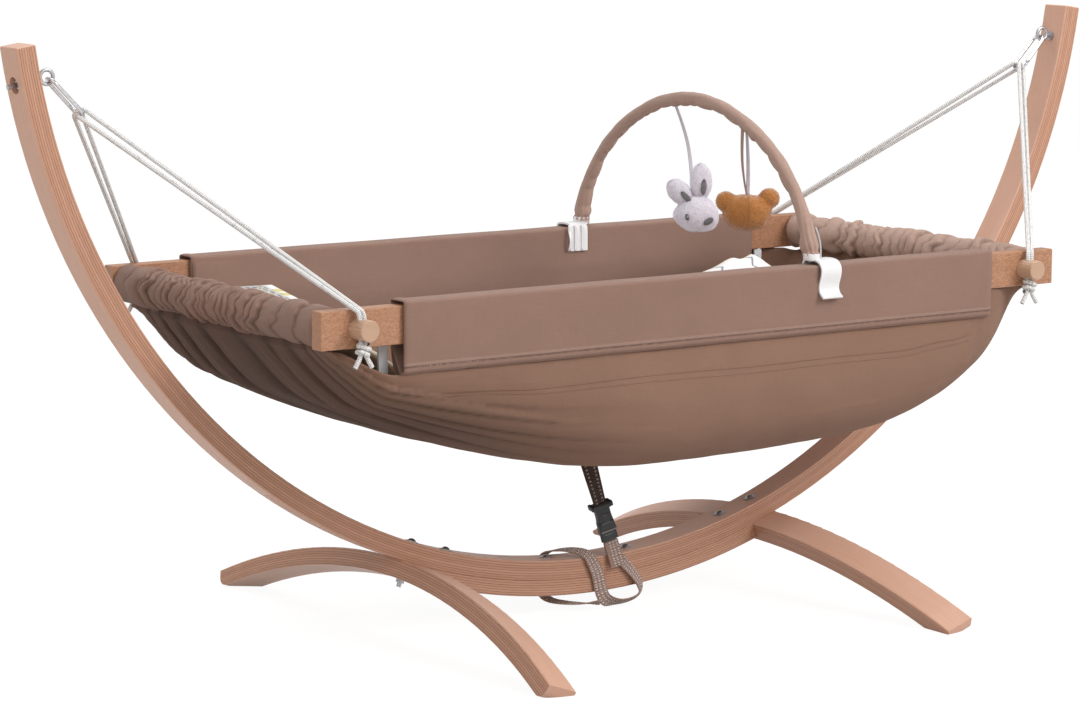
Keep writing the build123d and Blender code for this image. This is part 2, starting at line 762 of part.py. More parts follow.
def sling_shape(place_share):
    """Half width, top edge and depth of the sling, and its pleats' bulge, at one place."""
    reach = abs(place_share)
    free = max(reach - free_share, 0) / (1 - free_share)
    width_share = (1 + math.cos(math.pi * free)) / 2
    if place_share < 0:
        depth_share = (1 - reach**1.7) ** 0.95
        pleat_share = reach**1.5 * min(1, 0.25 + (1 - reach) / 0.08)
    else:
        depth_share = (1 - 0.15 * reach**2) * (1 - reach**8) ** 1.5
        pleat_share = 0.25 * reach**6
    half = end_half + (sling_half - end_half) * width_share
    top = end_edge + (sling_top - end_edge) * width_share
    depth = (top - sling_top + sling_depth) * depth_share + cloth_thickness
    return half, top, depth, pleat_bulge * pleat_share + cloth_thickness / 10


def sling_station(place_share):
    """The cross section of the sling at one place along it."""
    half, top, depth, bulge = sling_shape(place_share)
    turns = [math.pi * step / (2 * pleats) for step in range(2 * pleats + 1)]

    def rim(turn, inset):
        across = math.copysign(abs(math.cos(turn)) ** section_power_share, math.cos(turn))
        return Vector((half - inset) * across, top - (depth - inset) * math.sin(turn) ** section_power_share)

    with BuildSketch(Plane.YZ.offset(place_share * bar_x)) as section:
        with BuildLine():
            for inset, order in ((0, 1), (cloth_thickness, -1)):
                points = [rim(turn, inset) for turn in turns][::order]
                for fold in range(pleats):
                    first, middle, last = points[2 * fold:2 * fold + 3]
                    chord = (last - first).normalized()
                    out = Vector(chord.Y, -chord.X) * -order
                    rise = bulge * math.sin(turns[2 * fold + 1])
                    ThreePointArc(first, middle + out * rise, last)
            Line(rim(0, 0), rim(0, cloth_thickness))
            Line(rim(math.pi, 0), rim(math.pi, cloth_thickness))
        make_face()
    return section.sketch


with BuildPart() as sling:
    loft([sling_station(place_share) for place_share in left_stations + right_stations], ruled=True)
save(sling, "sling")

# Mattress: a quilted pad that lies in the sling and rises at both ends.  Each section
# is square to the pad's bottom line and dished to follow the cloth below it.
pad_place_shares = (-0.935, -0.885, -0.8, -0.665, -0.47, -0.25, 0.0,
                    0.25, 0.47, 0.64, 0.755, 0.82, 0.862, 0.88)
pad_rise_shares = (1.3830, 1.1374, 0.8509, 0.6111, 0.3246, 0.1199, 0.0088,
                   0.0117, 0.0848, 0.2135, 0.4123, 0.6579, 0.9269, 1.1608)
pad_dish_shares = (0.1, 0.2, 0.4, 0.65, 0.85, 1.0, 1.0, 1.0, 1.0, 0.95, 0.85, 0.6, 0.35, 0.2)
pad_dish = 32.0


def pad_station(index):
    """One cross section of the mattress."""
    points = [Vector(place * bar_x, 0, sling_top - sling_depth + rise * sling_depth)
              for place, rise in zip(pad_place_shares, pad_rise_shares)]
    before = points[max(index - 1, 0)]
    after = points[min(index + 1, len(points) - 1)]
    dish = pad_dish * pad_dish_shares[index]
    half = mattress_half_width
    side_top = dish + mattress_side
    with BuildSketch(Plane(origin=points[index], x_dir=(0, 1, 0), z_dir=after - before)) as section:
        with BuildLine():
            ThreePointArc((-half, dish), (0, 0), (half, dish))
            ThreePointArc((half, dish), (half + mattress_side / 3, dish + mattress_side / 2), (half, side_top))
            ThreePointArc((half, side_top), (0, mattress_thickness), (-half, side_top))
            ThreePointArc((-half, side_top), (-half - mattress_side / 3, dish + mattress_side / 2),
                          (-half, dish))
        make_face()
    return section.sketch


with BuildPart() as mattress:
    loft([pad_station(index) for index in range(len(pad_place_shares))], ruled=True)
save(mattress, "mattress")

# Corner tapes: loops of white tape that hang from the ends of two pockets, to tie the
# mattress down.
with BuildPart() as corner_tapes:
    for side, end, drop in ((-1, -1, long_tape_drop), (1, 1, short_tape_drop)):
        loop_plane = Plane(origin=(side * (sleeve_half + tape_width), end * (rail_inner_face - cloth_slack), 0),
                           x_dir=(0, -end, 0), z_dir=(-end, 0, 0))
        with BuildSketch(loop_plane):
            with BuildLine() as tape:
                Line((0, rail_bottom), (0, rail_bottom - drop))
                ThreePointArc((0, rail_bottom - drop), (-tape_thickness, rail_bottom - drop - tape_thickness),
                              (-2 * tape_thickness, rail_bottom - drop))
                Line((-2 * tape_thickness, rail_bottom - drop), (-2 * tape_thickness, rail_bottom))
            trace(tape.line, tape_thickness)
        extrude(amount=tape_width / 2, both=True)
save(corner_tapes, "corner_tapes")

# Toy arch: a bent rod in a cloth tube, from rail to rail across the cradle.
sleeve_top = rail_top + cloth_slack + cloth_thickness
clip_top = sleeve_top + clip_gap + clip_plate
arch_foot = clip_top + clip_boss_height + clip_gap
arch_lean = (arch_base_half - arch_shoulder_half) / (arch_shoulder_height - rail_top)
arch_foot_half = arch_base_half - arch_lean * (arch_foot - rail_top)


def arch_route(extra):
    """The bent line of the arch, with its ends run on by some length."""
    low_half = arch_foot_half + arch_lean * extra
    points = [Vector(arch_x, -low_half, arch_foot - extra),
              Vector(arch_x, -arch_shoulder_half, arch_shoulder_height),
              Vector(arch_x, 0, arch_peak_height),
              Vector(arch_x, arch_shoulder_half, arch_shoulder_height),
              Vector(arch_x, low_half, arch_foot - extra)]
    with BuildLine() as route:
        FilletPolyline(*points, radius=[arch_shoulder_radius, arch_top_radius, arch_shoulder_radius])
    return route


cover_route = arch_route(clip_gap * 10)
core_route = arch_route(clip_boss_height - clip_gap)
with BuildPart() as arch_cover:
    with BuildSketch(Plane(origin=cover_route.line @ 0, z_dir=cover_route.line % 0)):
        Circle(cover_radius)
    sweep(path=cover_route.wire())
    for end in (0, 1):
        cuff_line = (cover_route.line % end) * (1 - 2 * end)
        cuff_plane = Plane(origin=cover_route.line @ end, z_dir=cuff_line)
        with BuildSketch(cuff_plane):
            Circle(cuff_radius)
        with BuildSketch(cuff_plane.offset(cuff_length)):
            Circle(cover_radius)
        loft()
    with BuildSketch(Plane(origin=core_route.line @ 0, z_dir=core_route.line % 0)):
        Circle(core_radius + core_clearance)
    sweep(path=core_route.wire(), mode=Mode.SUBTRACT)
    split(bisect_by=Plane.XY.offset(arch_foot), keep=Keep.TOP)
save(arch_cover, "arch_cover")

with BuildPart() as arch_rod:
    with BuildSketch(Plane(origin=core_route.line @ 0, z_dir=core_route.line % 0)):
        Circle(core_radius)
    sweep(path=core_route.wire())
save(arch_rod, "arch_rod")

# Clips: white plates bent over each sleeved rail, with a boss for the rod's end and a
# lip that flares out at the bottom of the outer plate.
clip_outer = rail_outer_face + cloth_clearance + cloth_thickness + clip_gap
clip_inner = rail_inner_face - cloth_clearance - cloth_thickness - clip_gap
with BuildPart() as arch_clips:
    for end in (-1, 1):
        clip_plane = Plane(origin=(arch_x - end * clip_shift, 0, 0), x_dir=(0, end, 0), z_dir=(end, 0, 0))
        with BuildSketch(clip_plane):
            with BuildLine():
                Polyline((clip_inner - clip_block, clip_top), (clip_outer + clip_plate, clip_top),
                         (clip_outer + clip_plate, clip_top - clip_drop + clip_lip_height),
                         (clip_outer + clip_plate + clip_lip, clip_top - clip_drop),
                         (clip_outer + clip_lip, clip_top - clip_drop),
                         (clip_outer, clip_top - clip_drop + clip_lip_height),
                         (clip_outer, clip_top - clip_plate), (clip_inner, clip_top - clip_plate),
                         (clip_inner, clip_top - clip_inner_drop),
                         (clip_inner - clip_block, clip_top - clip_inner_drop), close=True)
            make_face()
        extrude(amount=clip_width / 2, both=True)
        with BuildSketch(Plane.XY.offset(clip_top)):
            with Locations((arch_x, end * (arch_foot_half + arch_lean * clip_boss_height / 2))):
                Circle(cuff_radius)
        extrude(amount=clip_boss_height)
        socket = Plane(origin=core_route.line @ ((end + 1) / 2),
                       z_dir=(core_route.line % ((end + 1) / 2)) * -end)
        with BuildSketch(socket):
            Circle(core_radius + core_clearance)
        extrude(amount=clip_boss_height + overrun, mode=Mode.SUBTRACT)
save(arch_clips, "arch_clips")


# Toys: stuffed heads and ears as plump turned lobes, each on a ribbon looped round the
# arch.  The heads look along the hammock, across the toy plane's slant.
toy_across = Vector(math.cos(math.radians(toy_yaw_angle)), math.sin(math.radians(toy_yaw_angle)), 0)
toy_facing = toy_across.cross(Vector(0, 0, 1))


def lobe(centre, direction, half_length, radius, fullness_share):
    """A plump lobe turned about its length, fuller at its start."""
    place = Plane(origin=centre, x_dir=direction, z_dir=toy_facing)
    with BuildSketch(place) as section:
        with BuildLine():
            Spline((-half_length, 0), (-0.7 * half_length, fullness_share * radius), (0, radius),
                   (0.7 * half_length, 0.7 * radius), (half_length, 0), tangents=((0, 1), (0, -1)))
            Line((-half_length, 0), (half_length, 0))
        make_face()
    revolve(section.sketch, axis=Axis(centre, direction))


def toy_point(centre, across, up):
    """A point in the toy's own plane."""
    return centre + toy_across * across + Vector(0, 0, up)


def make_ribbon(arch_share, centre, head_radius):
    """A ribbon looped round the arch, and straight down to the head."""
    knot = cover_route.line @ arch_share
    loop = Plane(origin=knot, z_dir=cover_route.line % arch_share)
    loop_radius = cover_radius + ribbon_clearance
    disc(loop.offset(-ribbon_width / 2), ribbon_width, loop_radius + ribbon_thickness, loop_radius)
    hang = centre - knot
    below = (hang - loop.z_dir * hang.dot(loop.z_dir)).normalized()
    start = knot + below * (loop_radius + 0.8 * ribbon_thickness)
    fall = (centre - start).normalized()
    length = (centre - start).length - head_radius - ribbon_clearance
    with BuildSketch(Plane(origin=start, x_dir=toy_across, z_dir=fall)) as section:
        Rectangle(ribbon_width, ribbon_thickness)
    extrude(section.sketch, amount=length)


rabbit_centre = Vector(arch_x, rabbit_y, rabbit_height)
with BuildPart() as rabbit_head:
    lobe(rabbit_centre, toy_across, rabbit_half, rabbit_radius, toy_fullness_share)
save(rabbit_head, "rabbit_head")

with BuildPart() as rabbit_left_ear:
    lobe(toy_point(rabbit_centre, -rabbit_half, rabbit_radius * 1.3),
         (toy_across * -0.55 + Vector(0, 0, 0.835)), rabbit_half * 0.75, rabbit_radius * 0.4, toy_fullness_share)
    add(rabbit_head.part, mode=Mode.SUBTRACT)
save(rabbit_left_ear, "rabbit_left_ear")

with BuildPart() as rabbit_right_ear:
    lobe(toy_point(rabbit_centre, rabbit_half * 0.3, rabbit_radius * 1.8),
         (toy_across * 0.1 + Vector(0, 0, 0.995)), rabbit_half, rabbit_radius * 0.42, toy_fullness_share)
    add(rabbit_head.part, mode=Mode.SUBTRACT)
save(rabbit_right_ear, "rabbit_right_ear")

with BuildPart() as rabbit_ribbon:
    make_ribbon(rabbit_share, rabbit_centre, rabbit_radius)
    add(rabbit_head.part, mode=Mode.SUBTRACT)
save(rabbit_ribbon, "rabbit_ribbon")

bear_centre = Vector(arch_x, bear_y, bear_height)
with BuildPart() as bear_head:
    lobe(bear_centre, toy_across, bear_half, bear_radius, toy_fullness_share)
save(bear_head, "bear_head")

with BuildPart() as bear_left_ear:
    lobe(toy_point(bear_centre, -bear_half * 0.95, bear_radius * 0.72), toy_across * -0.7
         + Vector(0, 0, 0.714), bear_half * 0.42, bear_radius * 0.42, 0.75)
    add(bear_head.part, mode=Mode.SUBTRACT)
save(bear_left_ear, "bear_left_ear")

with BuildPart() as bear_right_ear:
    lobe(toy_point(bear_centre, bear_half * 0.95, bear_radius * 0.85), toy_across * 0.7
         + Vector(0, 0, 0.714), bear_half * 0.42, bear_radius * 0.42, 0.75)
    add(bear_head.part, mode=Mode.SUBTRACT)
save(bear_right_ear, "bear_right_ear")

with BuildPart() as bear_ribbon:
    make_ribbon(bear_share, bear_centre, bear_radius)
    add(bear_head.part, mode=Mode.SUBTRACT)
save(bear_ribbon, "bear_ribbon")

# Strap: webbing sewn under the belly, with a side-release buckle above the beam.  It
# slants forward, so its lower end hangs before the beam.
belly = Vector(0, 0, sling_top - sling_depth - cloth_thickness - strap_gap)
strap_end = Vector(strap_end_x, strap_end_y, strap_end_height)
strap_line = (strap_end - belly).normalized()
strap_side = Vector(0, 1, 0).cross(strap_line).normalized() * -1
strap_length = (strap_end - belly).length


def strap_plane(place):
    """A plane square to the strap; X across the webbing, Z down the strap."""
    return Plane(origin=belly + strap_line * place, x_dir=strap_side, z_dir=strap_line)


with BuildPart() as upper_webbing:
    with BuildSketch(strap_plane(-overrun)):
        Rectangle(strap_width, strap_thickness)
    extrude(amount=buckle_place + overrun - strap_gap)
    split(bisect_by=Plane.XY.offset(belly.Z - strap_gap), keep=Keep.BOTTOM)
    top_edges = upper_webbing.faces().sort_by(Axis.Z)[-1].edges()
    chamfer(top_edges.filter_by(lambda edge: edge.length > strap_width / 2), strap_thickness / 4)
save(upper_webbing, "upper_webbing")

with BuildPart() as buckle_socket:
    for place, width, next_place, next_width in (
            (0, socket_width, 0.2, socket_width), (0.2, socket_waist, 0.45, socket_waist),
            (0.45, socket_waist, 1, socket_width)):
        with BuildSketch(strap_plane(buckle_place + place * socket_length)):
            RectangleRounded(width, socket_thickness, socket_wall)
        with BuildSketch(strap_plane(buckle_place + next_place * socket_length)):
            RectangleRounded(next_width, socket_thickness, socket_wall)
        loft()
    with BuildSketch(strap_plane(buckle_place + socket_length - prong_length - 2 * socket_wall)):
        Rectangle(socket_waist - 2 * socket_wall, prong_thickness + 2 * buckle_clearance)
    extrude(amount=prong_length + 2 * socket_wall + overrun, mode=Mode.SUBTRACT)
save(buckle_socket, "buckle_socket")

plug_place = buckle_place + socket_length + buckle_clearance
with BuildPart() as buckle_plug:
    with BuildSketch(strap_plane(plug_place)):
        RectangleRounded(plug_width, plug_thickness, socket_wall)
    extrude(amount=plug_base_length)
    with BuildSketch(strap_plane(plug_place)):
        with Locations((-prong_width - socket_wall, 0), (0, 0), (prong_width + socket_wall, 0)):
            Rectangle(prong_width / 1.4, prong_thickness)
    extrude(amount=-prong_length)
save(buckle_plug, "buckle_plug")

lower_place = plug_place + plug_base_length + buckle_clearance
with BuildPart() as lower_webbing:
    with BuildSketch(strap_plane(lower_place)):
        Rectangle(strap_width, 2 * strap_thickness)
    extrude(amount=strap_length - lower_place)
save(lower_webbing, "lower_webbing")

# Hitch: the strap's loop lies slantwise round the beam, slack below it, and its free
# bight hangs before the beam and comes up beside the sewn end.
hitch_angle = math.radians(hitch_turn_angle)
hitch_across = Vector(-math.sin(hitch_angle), math.cos(hitch_angle), 0)
hitch_normal = Vector(math.cos(hitch_angle), math.sin(hitch_angle), 0)
hitch_reach = hitch_half * math.sin(hitch_angle) + hitch_width / 2 * math.cos(hitch_angle) - hitch_x
hitch_top = arc_centre_height - math.sqrt(arc_radius**2 - hitch_reach**2) + strap_gap
with BuildPart() as strap_hitch:
    with BuildSketch(Plane(origin=(hitch_x, 0, (hitch_top + hitch_low) / 2), x_dir=hitch_across,
                           z_dir=hitch_normal)):
        RectangleRounded(2 * (hitch_half + strap_thickness), hitch_top - hitch_low + 2 * strap_thickness,
                         hitch_corner + strap_thickness)
        RectangleRounded(2 * hitch_half, hitch_top - hitch_low, hitch_corner, mode=Mode.SUBTRACT)
    extrude(amount=hitch_width / 2, both=True)
    front = Plane(origin=(0, strap_end_y + strap_thickness, 0), x_dir=(1, 0, 0), z_dir=(0, -1, 0))
    with BuildSketch(front):
        with BuildLine() as bight:
            FilletPolyline((bight_left - hitch_corner, 2 * hitch_width), (bight_left, bight_low),
                           (bight_right, bight_low),
                           (strap_end_x + 1.3 * hitch_width, strap_end_height + hitch_width / 2),
                           radius=[bight_left_radius, bight_right_radius])
        trace(bight.line, hitch_width)
    extrude(amount=strap_thickness)
save(strap_hitch, "strap_hitch")
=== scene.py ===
"""Baby hammock on a bentwood arc stand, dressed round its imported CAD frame.

Metres.  X runs along the hammock, Y away from its front, Z up from the floor.
"""
import math
import random

import bpy
from mathutils import Matrix, Vector, noise


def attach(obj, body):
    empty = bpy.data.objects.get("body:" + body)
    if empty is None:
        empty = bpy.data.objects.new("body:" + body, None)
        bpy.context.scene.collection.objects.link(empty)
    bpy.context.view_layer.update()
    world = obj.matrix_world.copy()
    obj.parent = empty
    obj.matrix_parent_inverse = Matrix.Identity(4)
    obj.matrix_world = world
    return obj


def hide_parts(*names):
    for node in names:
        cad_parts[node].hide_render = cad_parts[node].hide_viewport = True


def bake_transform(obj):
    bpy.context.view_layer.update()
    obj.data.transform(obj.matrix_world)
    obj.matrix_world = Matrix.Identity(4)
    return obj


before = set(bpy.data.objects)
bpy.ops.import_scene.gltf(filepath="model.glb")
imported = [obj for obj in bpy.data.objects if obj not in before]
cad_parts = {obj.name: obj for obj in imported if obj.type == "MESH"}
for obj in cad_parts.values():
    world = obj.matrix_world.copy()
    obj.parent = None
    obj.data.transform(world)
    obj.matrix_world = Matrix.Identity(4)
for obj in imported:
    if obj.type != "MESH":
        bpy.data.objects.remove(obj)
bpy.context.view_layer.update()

# Camera and studio: the camera stands left of the front at the height of the arms' tops,
# with the shift of the photograph's framing.  A white sweep carries a soft shadow.
camera_place = Vector((-2.6468, -3.6359, 1.0051))
camera_yaw = 0.5832
camera_pitch = 0.1378
camera_roll = 0.0024
camera_film = 36.0
camera_lens = 120.45
camera_shift = (0.1085, -0.0423)
floor_reach = 60.0
floor_paint = (0.55, 0.52, 0.50, 1)
floor_white_share = 0.76
floor_glow = 1.22
sky_strength = 0.62
lamp_size = 2.4

camera = bpy.data.objects.new("camera", bpy.data.cameras.new("camera"))
bpy.context.scene.collection.objects.link(camera)
camera.matrix_world = (Matrix.Translation(camera_place) @ Matrix.Rotation(-camera_yaw, 4, "Z")
                       @ Matrix.Rotation(math.pi / 2 - camera_pitch, 4, "X")
                       @ Matrix.Rotation(camera_roll, 4, "Z"))
camera.data.sensor_width = camera_film
camera.data.lens = camera_lens
camera.data.shift_x, camera.data.shift_y = camera_shift
camera.data.clip_end = 2 * floor_reach
bpy.context.scene.camera = camera
bpy.context.scene.view_settings.view_transform = "Standard"


def seen_straight(tree, other_ray):
    """1 where the camera, or one other kind of ray, looks straight at a surface."""
    path = tree.nodes.new("ShaderNodeLightPath")
    seen = tree.nodes.new("ShaderNodeMath")
    seen.operation = "MAXIMUM"
    tree.links.new(path.outputs["Is Camera Ray"], seen.inputs[0])
    tree.links.new(path.outputs[other_ray], seen.inputs[1])
    return seen.outputs[0]


def mix_white(tree, share, lit, white, target):
    """Lay a share of a white shader over the lit one."""
    blend = tree.nodes.new("ShaderNodeMixShader")
    for socket, source in zip(blend.inputs, (share, lit.outputs[0], white.outputs[0])):
        tree.links.new(source, socket)
    tree.links.new(blend.outputs[0], target)


bpy.ops.object.select_all(action="DESELECT")
bpy.ops.mesh.primitive_plane_add(size=floor_reach, location=(0, 0, 0))
studio_floor = bpy.context.object
studio_floor.name = "studio_floor"
paint = bpy.data.materials.new("studio_white")
paint.use_nodes = True
tree = paint.node_tree
tree.nodes.clear()
output = tree.nodes.new("ShaderNodeOutputMaterial")
matt = tree.nodes.new("ShaderNodeBsdfDiffuse")
matt.inputs["Color"].default_value = floor_paint
glow = tree.nodes.new("ShaderNodeEmission")
glow.inputs["Strength"].default_value = floor_glow
white_share = tree.nodes.new("ShaderNodeMath")
white_share.operation = "MULTIPLY"
white_share.inputs[1].default_value = floor_white_share
tree.links.new(seen_straight(tree, "Is Glossy Ray"), white_share.inputs[0])
mix_white(tree, white_share.outputs[0], matt, glow, output.inputs["Surface"])
studio_floor.data.materials.append(paint)

world = bpy.data.worlds.new("studio_world")
bpy.context.scene.world = world
world.use_nodes = True
sky = world.node_tree
sky_light = sky.nodes["Background"]
sky_white = sky.nodes.new("ShaderNodeBackground")
for shader, strength in ((sky_light, sky_strength), (sky_white, 1.0)):
    shader.inputs["Color"].default_value = (1, 1, 1, 1)
    shader.inputs["Strength"].default_value = strength
mix_white(sky, seen_straight(sky, "Is Transmission Ray"), sky_light, sky_white,
          sky.nodes["World Output"].inputs["Surface"])


def softbox(name, place, target, watts):
    """A square soft lamp that faces a point."""
    lamp = bpy.data.lights.new(name, "AREA")
    lamp.shape = "SQUARE"
    lamp.size = lamp_size
    lamp.energy = watts
    stand = bpy.data.objects.new(name, lamp)
    bpy.context.scene.collection.objects.link(stand)
    stand.matrix_world = Matrix.Translation(place) @ (
        (Vector(target) - Vector(place)).to_track_quat("-Z", "Y").to_matrix().to_4x4())


softbox("key_lamp", (1.9, -3.7, 3.2), (0, 0, 0.35), 150)
softbox("fill_lamp", (-3.4, -2.6, 2.6), (0, 0, 0.6), 30)
softbox("top_lamp", (0.2, 1.2, 3.6), (0, 0, 0.4), 46)


# Arms and centre beam: steam-bent beech plies glued into an arc, with a satin varnish.
# The plies follow the arc, so their glue lines show on the sides and not on the faces.
class Value:
    """A number that varies over a finish; sums on it add Math nodes."""

    def __init__(self, finish, socket):
        self.finish = finish
        self.socket = socket

    def math(self, operation, *others, swapped=False):
        values = (self,) + others
        if swapped:
            values = values[::-1]
        made = self.finish.node("Math", {"operation": operation}, dict(enumerate(values)))
        return Value(self.finish, made.outputs[0])

    def __add__(self, other):
        return self.math("ADD", other)

    def __sub__(self, other):
        return self.math("SUBTRACT", other)

    def __rsub__(self, other):
        return self.math("SUBTRACT", other, swapped=True)

    def __mul__(self, other):
        return self.math("MULTIPLY", other)

    def __truediv__(self, other):
        return self.math("DIVIDE", other)

    def __abs__(self):
        return self.math("ABSOLUTE")

    __radd__ = __add__
    __rmul__ = __mul__

    def whole(self):
        return self.math("FLOOR")

    def fraction(self):
        return self.math("FRACT")

    def sine(self):
        return self.math("SINE")

    def root(self):
        return self.math("SQRT")

    def angle(self, other):
        return self.math("ARCTAN2", other)

    def step(self, low, high):
        """0 below low, 1 above high, and smooth between."""
        made = self.finish.node("MapRange", {"interpolation_type": "SMOOTHSTEP"},
                                {"Value": self, "From Min": low, "From Max": high})
        return Value(self.finish, made.outputs["Result"])


class Finish:
    """A material: its shader, and nodes that read a piece's own coordinates."""

    def __init__(self, name, roughness=0.6, coat=0.0, metallic=0.0, sheen=0.0):
        self.material = bpy.data.materials.new(name)
        self.material.use_nodes = True
        self.tree = self.material.node_tree
        self.shader = self.tree.nodes["Principled BSDF"]
        self.put("Roughness", roughness)
        self.put("Coat Weight", coat)
        self.put("Metallic", metallic)
        self.put("Sheen Weight", sheen)
        source = self.tree.nodes.new("ShaderNodeTexCoord")
        self.place = source.outputs["Object"]
        self.cloth_place = source.outputs["UV"]

    def node(self, kind, settings, sockets):
        """Any node, with its settings made before its sockets are filled."""
        made = self.tree.nodes.new("ShaderNode" + kind)
        for name, setting in settings.items():
            setattr(made, name, setting)
        for name, value in sockets.items():
            self.fill(made.inputs[name], value)
        return made

    def fill(self, socket, value):
        """Link a node's output to a socket, or set the socket's own value."""
        if isinstance(value, Value):
            self.tree.links.new(value.socket, socket)
        elif isinstance(value, bpy.types.NodeSocket):
            self.tree.links.new(value, socket)
        elif isinstance(value, tuple) and len(value) == 3 and socket.type == "RGBA":
            socket.default_value = (*value, 1)
        else:
            socket.default_value = value

    def put(self, name, value):
        self.fill(self.shader.inputs[name], value)

    def parts(self, vector):
        made = self.node("SeparateXYZ", {}, {0: vector})
        return [Value(self, made.outputs[axis]) for axis in range(3)]

    def point(self, x, y, z):
        return self.node("CombineXYZ", {}, {0: x, 1: y, 2: z}).outputs[0]

    def cloud(self, vector, scale, detail=3.0, rough=0.55):
        made = self.node("TexNoise", {}, {"Vector": vector, "Scale": scale, "Detail": detail,
                                          "Roughness": rough})
        return Value(self, made.outputs[0])

    def mix(self, factor, first, second):
        made = self.node("Mix", {"data_type": "RGBA"}, {0: factor, 6: first, 7: second})
        return made.outputs[2]

    def relief(self, height, depth):
        made = self.node("Bump", {}, {"Height": height, "Distance": depth, "Strength": 1.0})
        self.put("Normal", made.outputs["Normal"])

    def dress(self, *names):
        """Give solids of the frame this finish."""
        for name in names:
            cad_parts[name].data.materials.clear()
            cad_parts[name].data.materials.append(self.material)


arc_centre = 0.858
arc_radius = 0.790
arm_sides = (0.0205, 0.0209)
ply_thickness = 0.0031
glue_band = (0.36, 0.47)
face_colour = (0.69, 0.405, 0.29)
face_pale = (0.74, 0.50, 0.39)
ply_colour = (0.61, 0.315, 0.20)
ply_dark = (0.46, 0.225, 0.135)
glue_colour = (0.15, 0.066, 0.034)
grain_depth = 0.0004


def laminate(finish, depth, length, across, side):
    """Beech plies: depth counts the plies, length follows them, side shows their edges."""
    wobble = finish.cloud(finish.point(length * 3, across * 2, depth * 8), 3.0)
    layers = depth / ply_thickness + (wobble - 0.5) * 0.7
    glue = abs(layers.fraction() - 0.5).step(*glue_band) * side
    grain = finish.cloud(finish.point(length * 6, across * 160, depth * 260), 2.2, 5.0, 0.7)
    flecks = finish.cloud(finish.point(length * 60, across * 420, depth * 420), 3.0, 2.0)
    flecks = flecks.step(0.55, 0.72)
    broad = finish.cloud(finish.point(length * 2, across * 9, depth * 9), 2.0, 2.0)
    lines = finish.cloud(finish.point(length * 16, across * 2, depth * 900), 3.0)
    tone = finish.node("TexWhiteNoise", {"noise_dimensions": "1D"}, {"W": layers.whole()})
    edge = finish.mix(Value(finish, tone.outputs["Value"]) * 0.6 + grain * 0.4, ply_colour, ply_dark)
    edge = finish.mix(lines.step(0.45, 0.7) * 0.5, edge, face_colour)
    face = finish.mix(grain.step(0.35, 0.75) * 0.45 + flecks * 0.25, face_colour, ply_colour)
    face = finish.mix(broad.step(0.35, 0.7) * 0.25, face, face_pale)
    colour = finish.mix(side, face, edge)
    finish.put("Base Color", finish.mix(glue * 0.75, colour, glue_colour))
    finish.put("Roughness", 0.42 + grain * 0.2)
    finish.relief(grain * 0.35 - glue * 0.5 - flecks * 0.2, grain_depth)


beech_arc = Finish("beech_arc", coat=0.12)
x, y, z = beech_arc.parts(beech_arc.place)
drop = arc_centre - z
from_centre = (x * x + drop * drop).root()
laminate(beech_arc, from_centre - arc_radius, x.angle(drop) * arc_radius, y, abs(y).step(*arm_sides))
beech_arc.dress("left_arm", "right_arm", "centre_beam")

# Feet: shorter curved laminations, square to the arc and leaning outwards with it, so
# their plies follow their own arched line.
foot_angle = math.radians(19.5)
foot_radius = 0.857
foot_top = (0.27205, 0.08975)
foot_sides = (0.0195, 0.0199)
first_ply = 0.001
beech_foot = Finish("beech_foot", coat=0.12)
x, y, z = beech_foot.parts(beech_foot.place)
out_of_top = abs(x) - foot_top[0]
over_top = z - foot_top[1]
lift = out_of_top * -math.sin(foot_angle) + over_top * math.cos(foot_angle) + foot_radius - first_ply
from_centre = (y * y + lift * lift).root()
across = out_of_top * math.cos(foot_angle) + over_top * math.sin(foot_angle)
laminate(beech_foot, foot_radius - from_centre, y.angle(lift) * foot_radius, across,
         abs(across).step(*foot_sides))
beech_foot.dress("left_foot", "right_foot")

# Bolts, washers and nuts: zinc plated steel, a little worn where the spanner turned them.
# Two bolts hold the feet, four join arms and beam, and two carry an eye for a snap hook.
zinc = Finish("zinc_plate", roughness=0.34, metallic=1.0)
wear = zinc.cloud(zinc.place, 420.0, 4.0, 0.6)
zinc.put("Base Color", zinc.mix(wear, (0.36, 0.36, 0.38), (0.62, 0.62, 0.63)))
zinc.put("Roughness", 0.24 + wear * 0.3)
zinc.dress("foot_bolts", "foot_washers", "foot_nuts", "beam_bolts", "beam_washers", "sleeve_nuts",
           "eye_bolts", "eye_nuts")

# Snap hooks: bent nickel plated wire.  A spring gate turns on a small rivet and closes
# the lower bend, which the ropes hang in.
nickel = Finish("nickel_plate", roughness=0.2, metallic=1.0)
polish = nickel.cloud(nickel.place, 300.0, 3.0)
nickel.put("Base Color", nickel.mix(polish, (0.50, 0.50, 0.52), (0.74, 0.74, 0.75)))
nickel.put("Roughness", 0.14 + polish * 0.2)
nickel.dress("snap_hooks", "left_gate", "right_gate", "gate_rivets")


# Ropes: four lengths of white braided cord.  Each one comes up through its peg, goes
# round the snap hook's lower bend and comes back down through the same peg.
rope_radius = 0.00275
rope_braid_turn = 0.021
rope_strands = 8
lay_pitch = math.pi * rope_strands / rope_braid_turn
peg_x = 0.501
peg_hole_y = 0.263
mouth_height = 0.44145
mouth_lip = 0.00295
rope_foot = 0.02795
hook_bend = (0.7206, 0.6644)
hook_across = (0.717, -0.697)
loop_offset = 0.00555
loop_rise = 0.00445
loop_places = (0.033, 0.0111)
strand_offset = 0.00295
# Painted shade for the gaps between the braid's strands.
braid_gap_shade = (0.50, 0.48, 0.47)
cord_white = (0.90, 0.89, 0.87)
cord_fleck = (0.30, 0.30, 0.32)


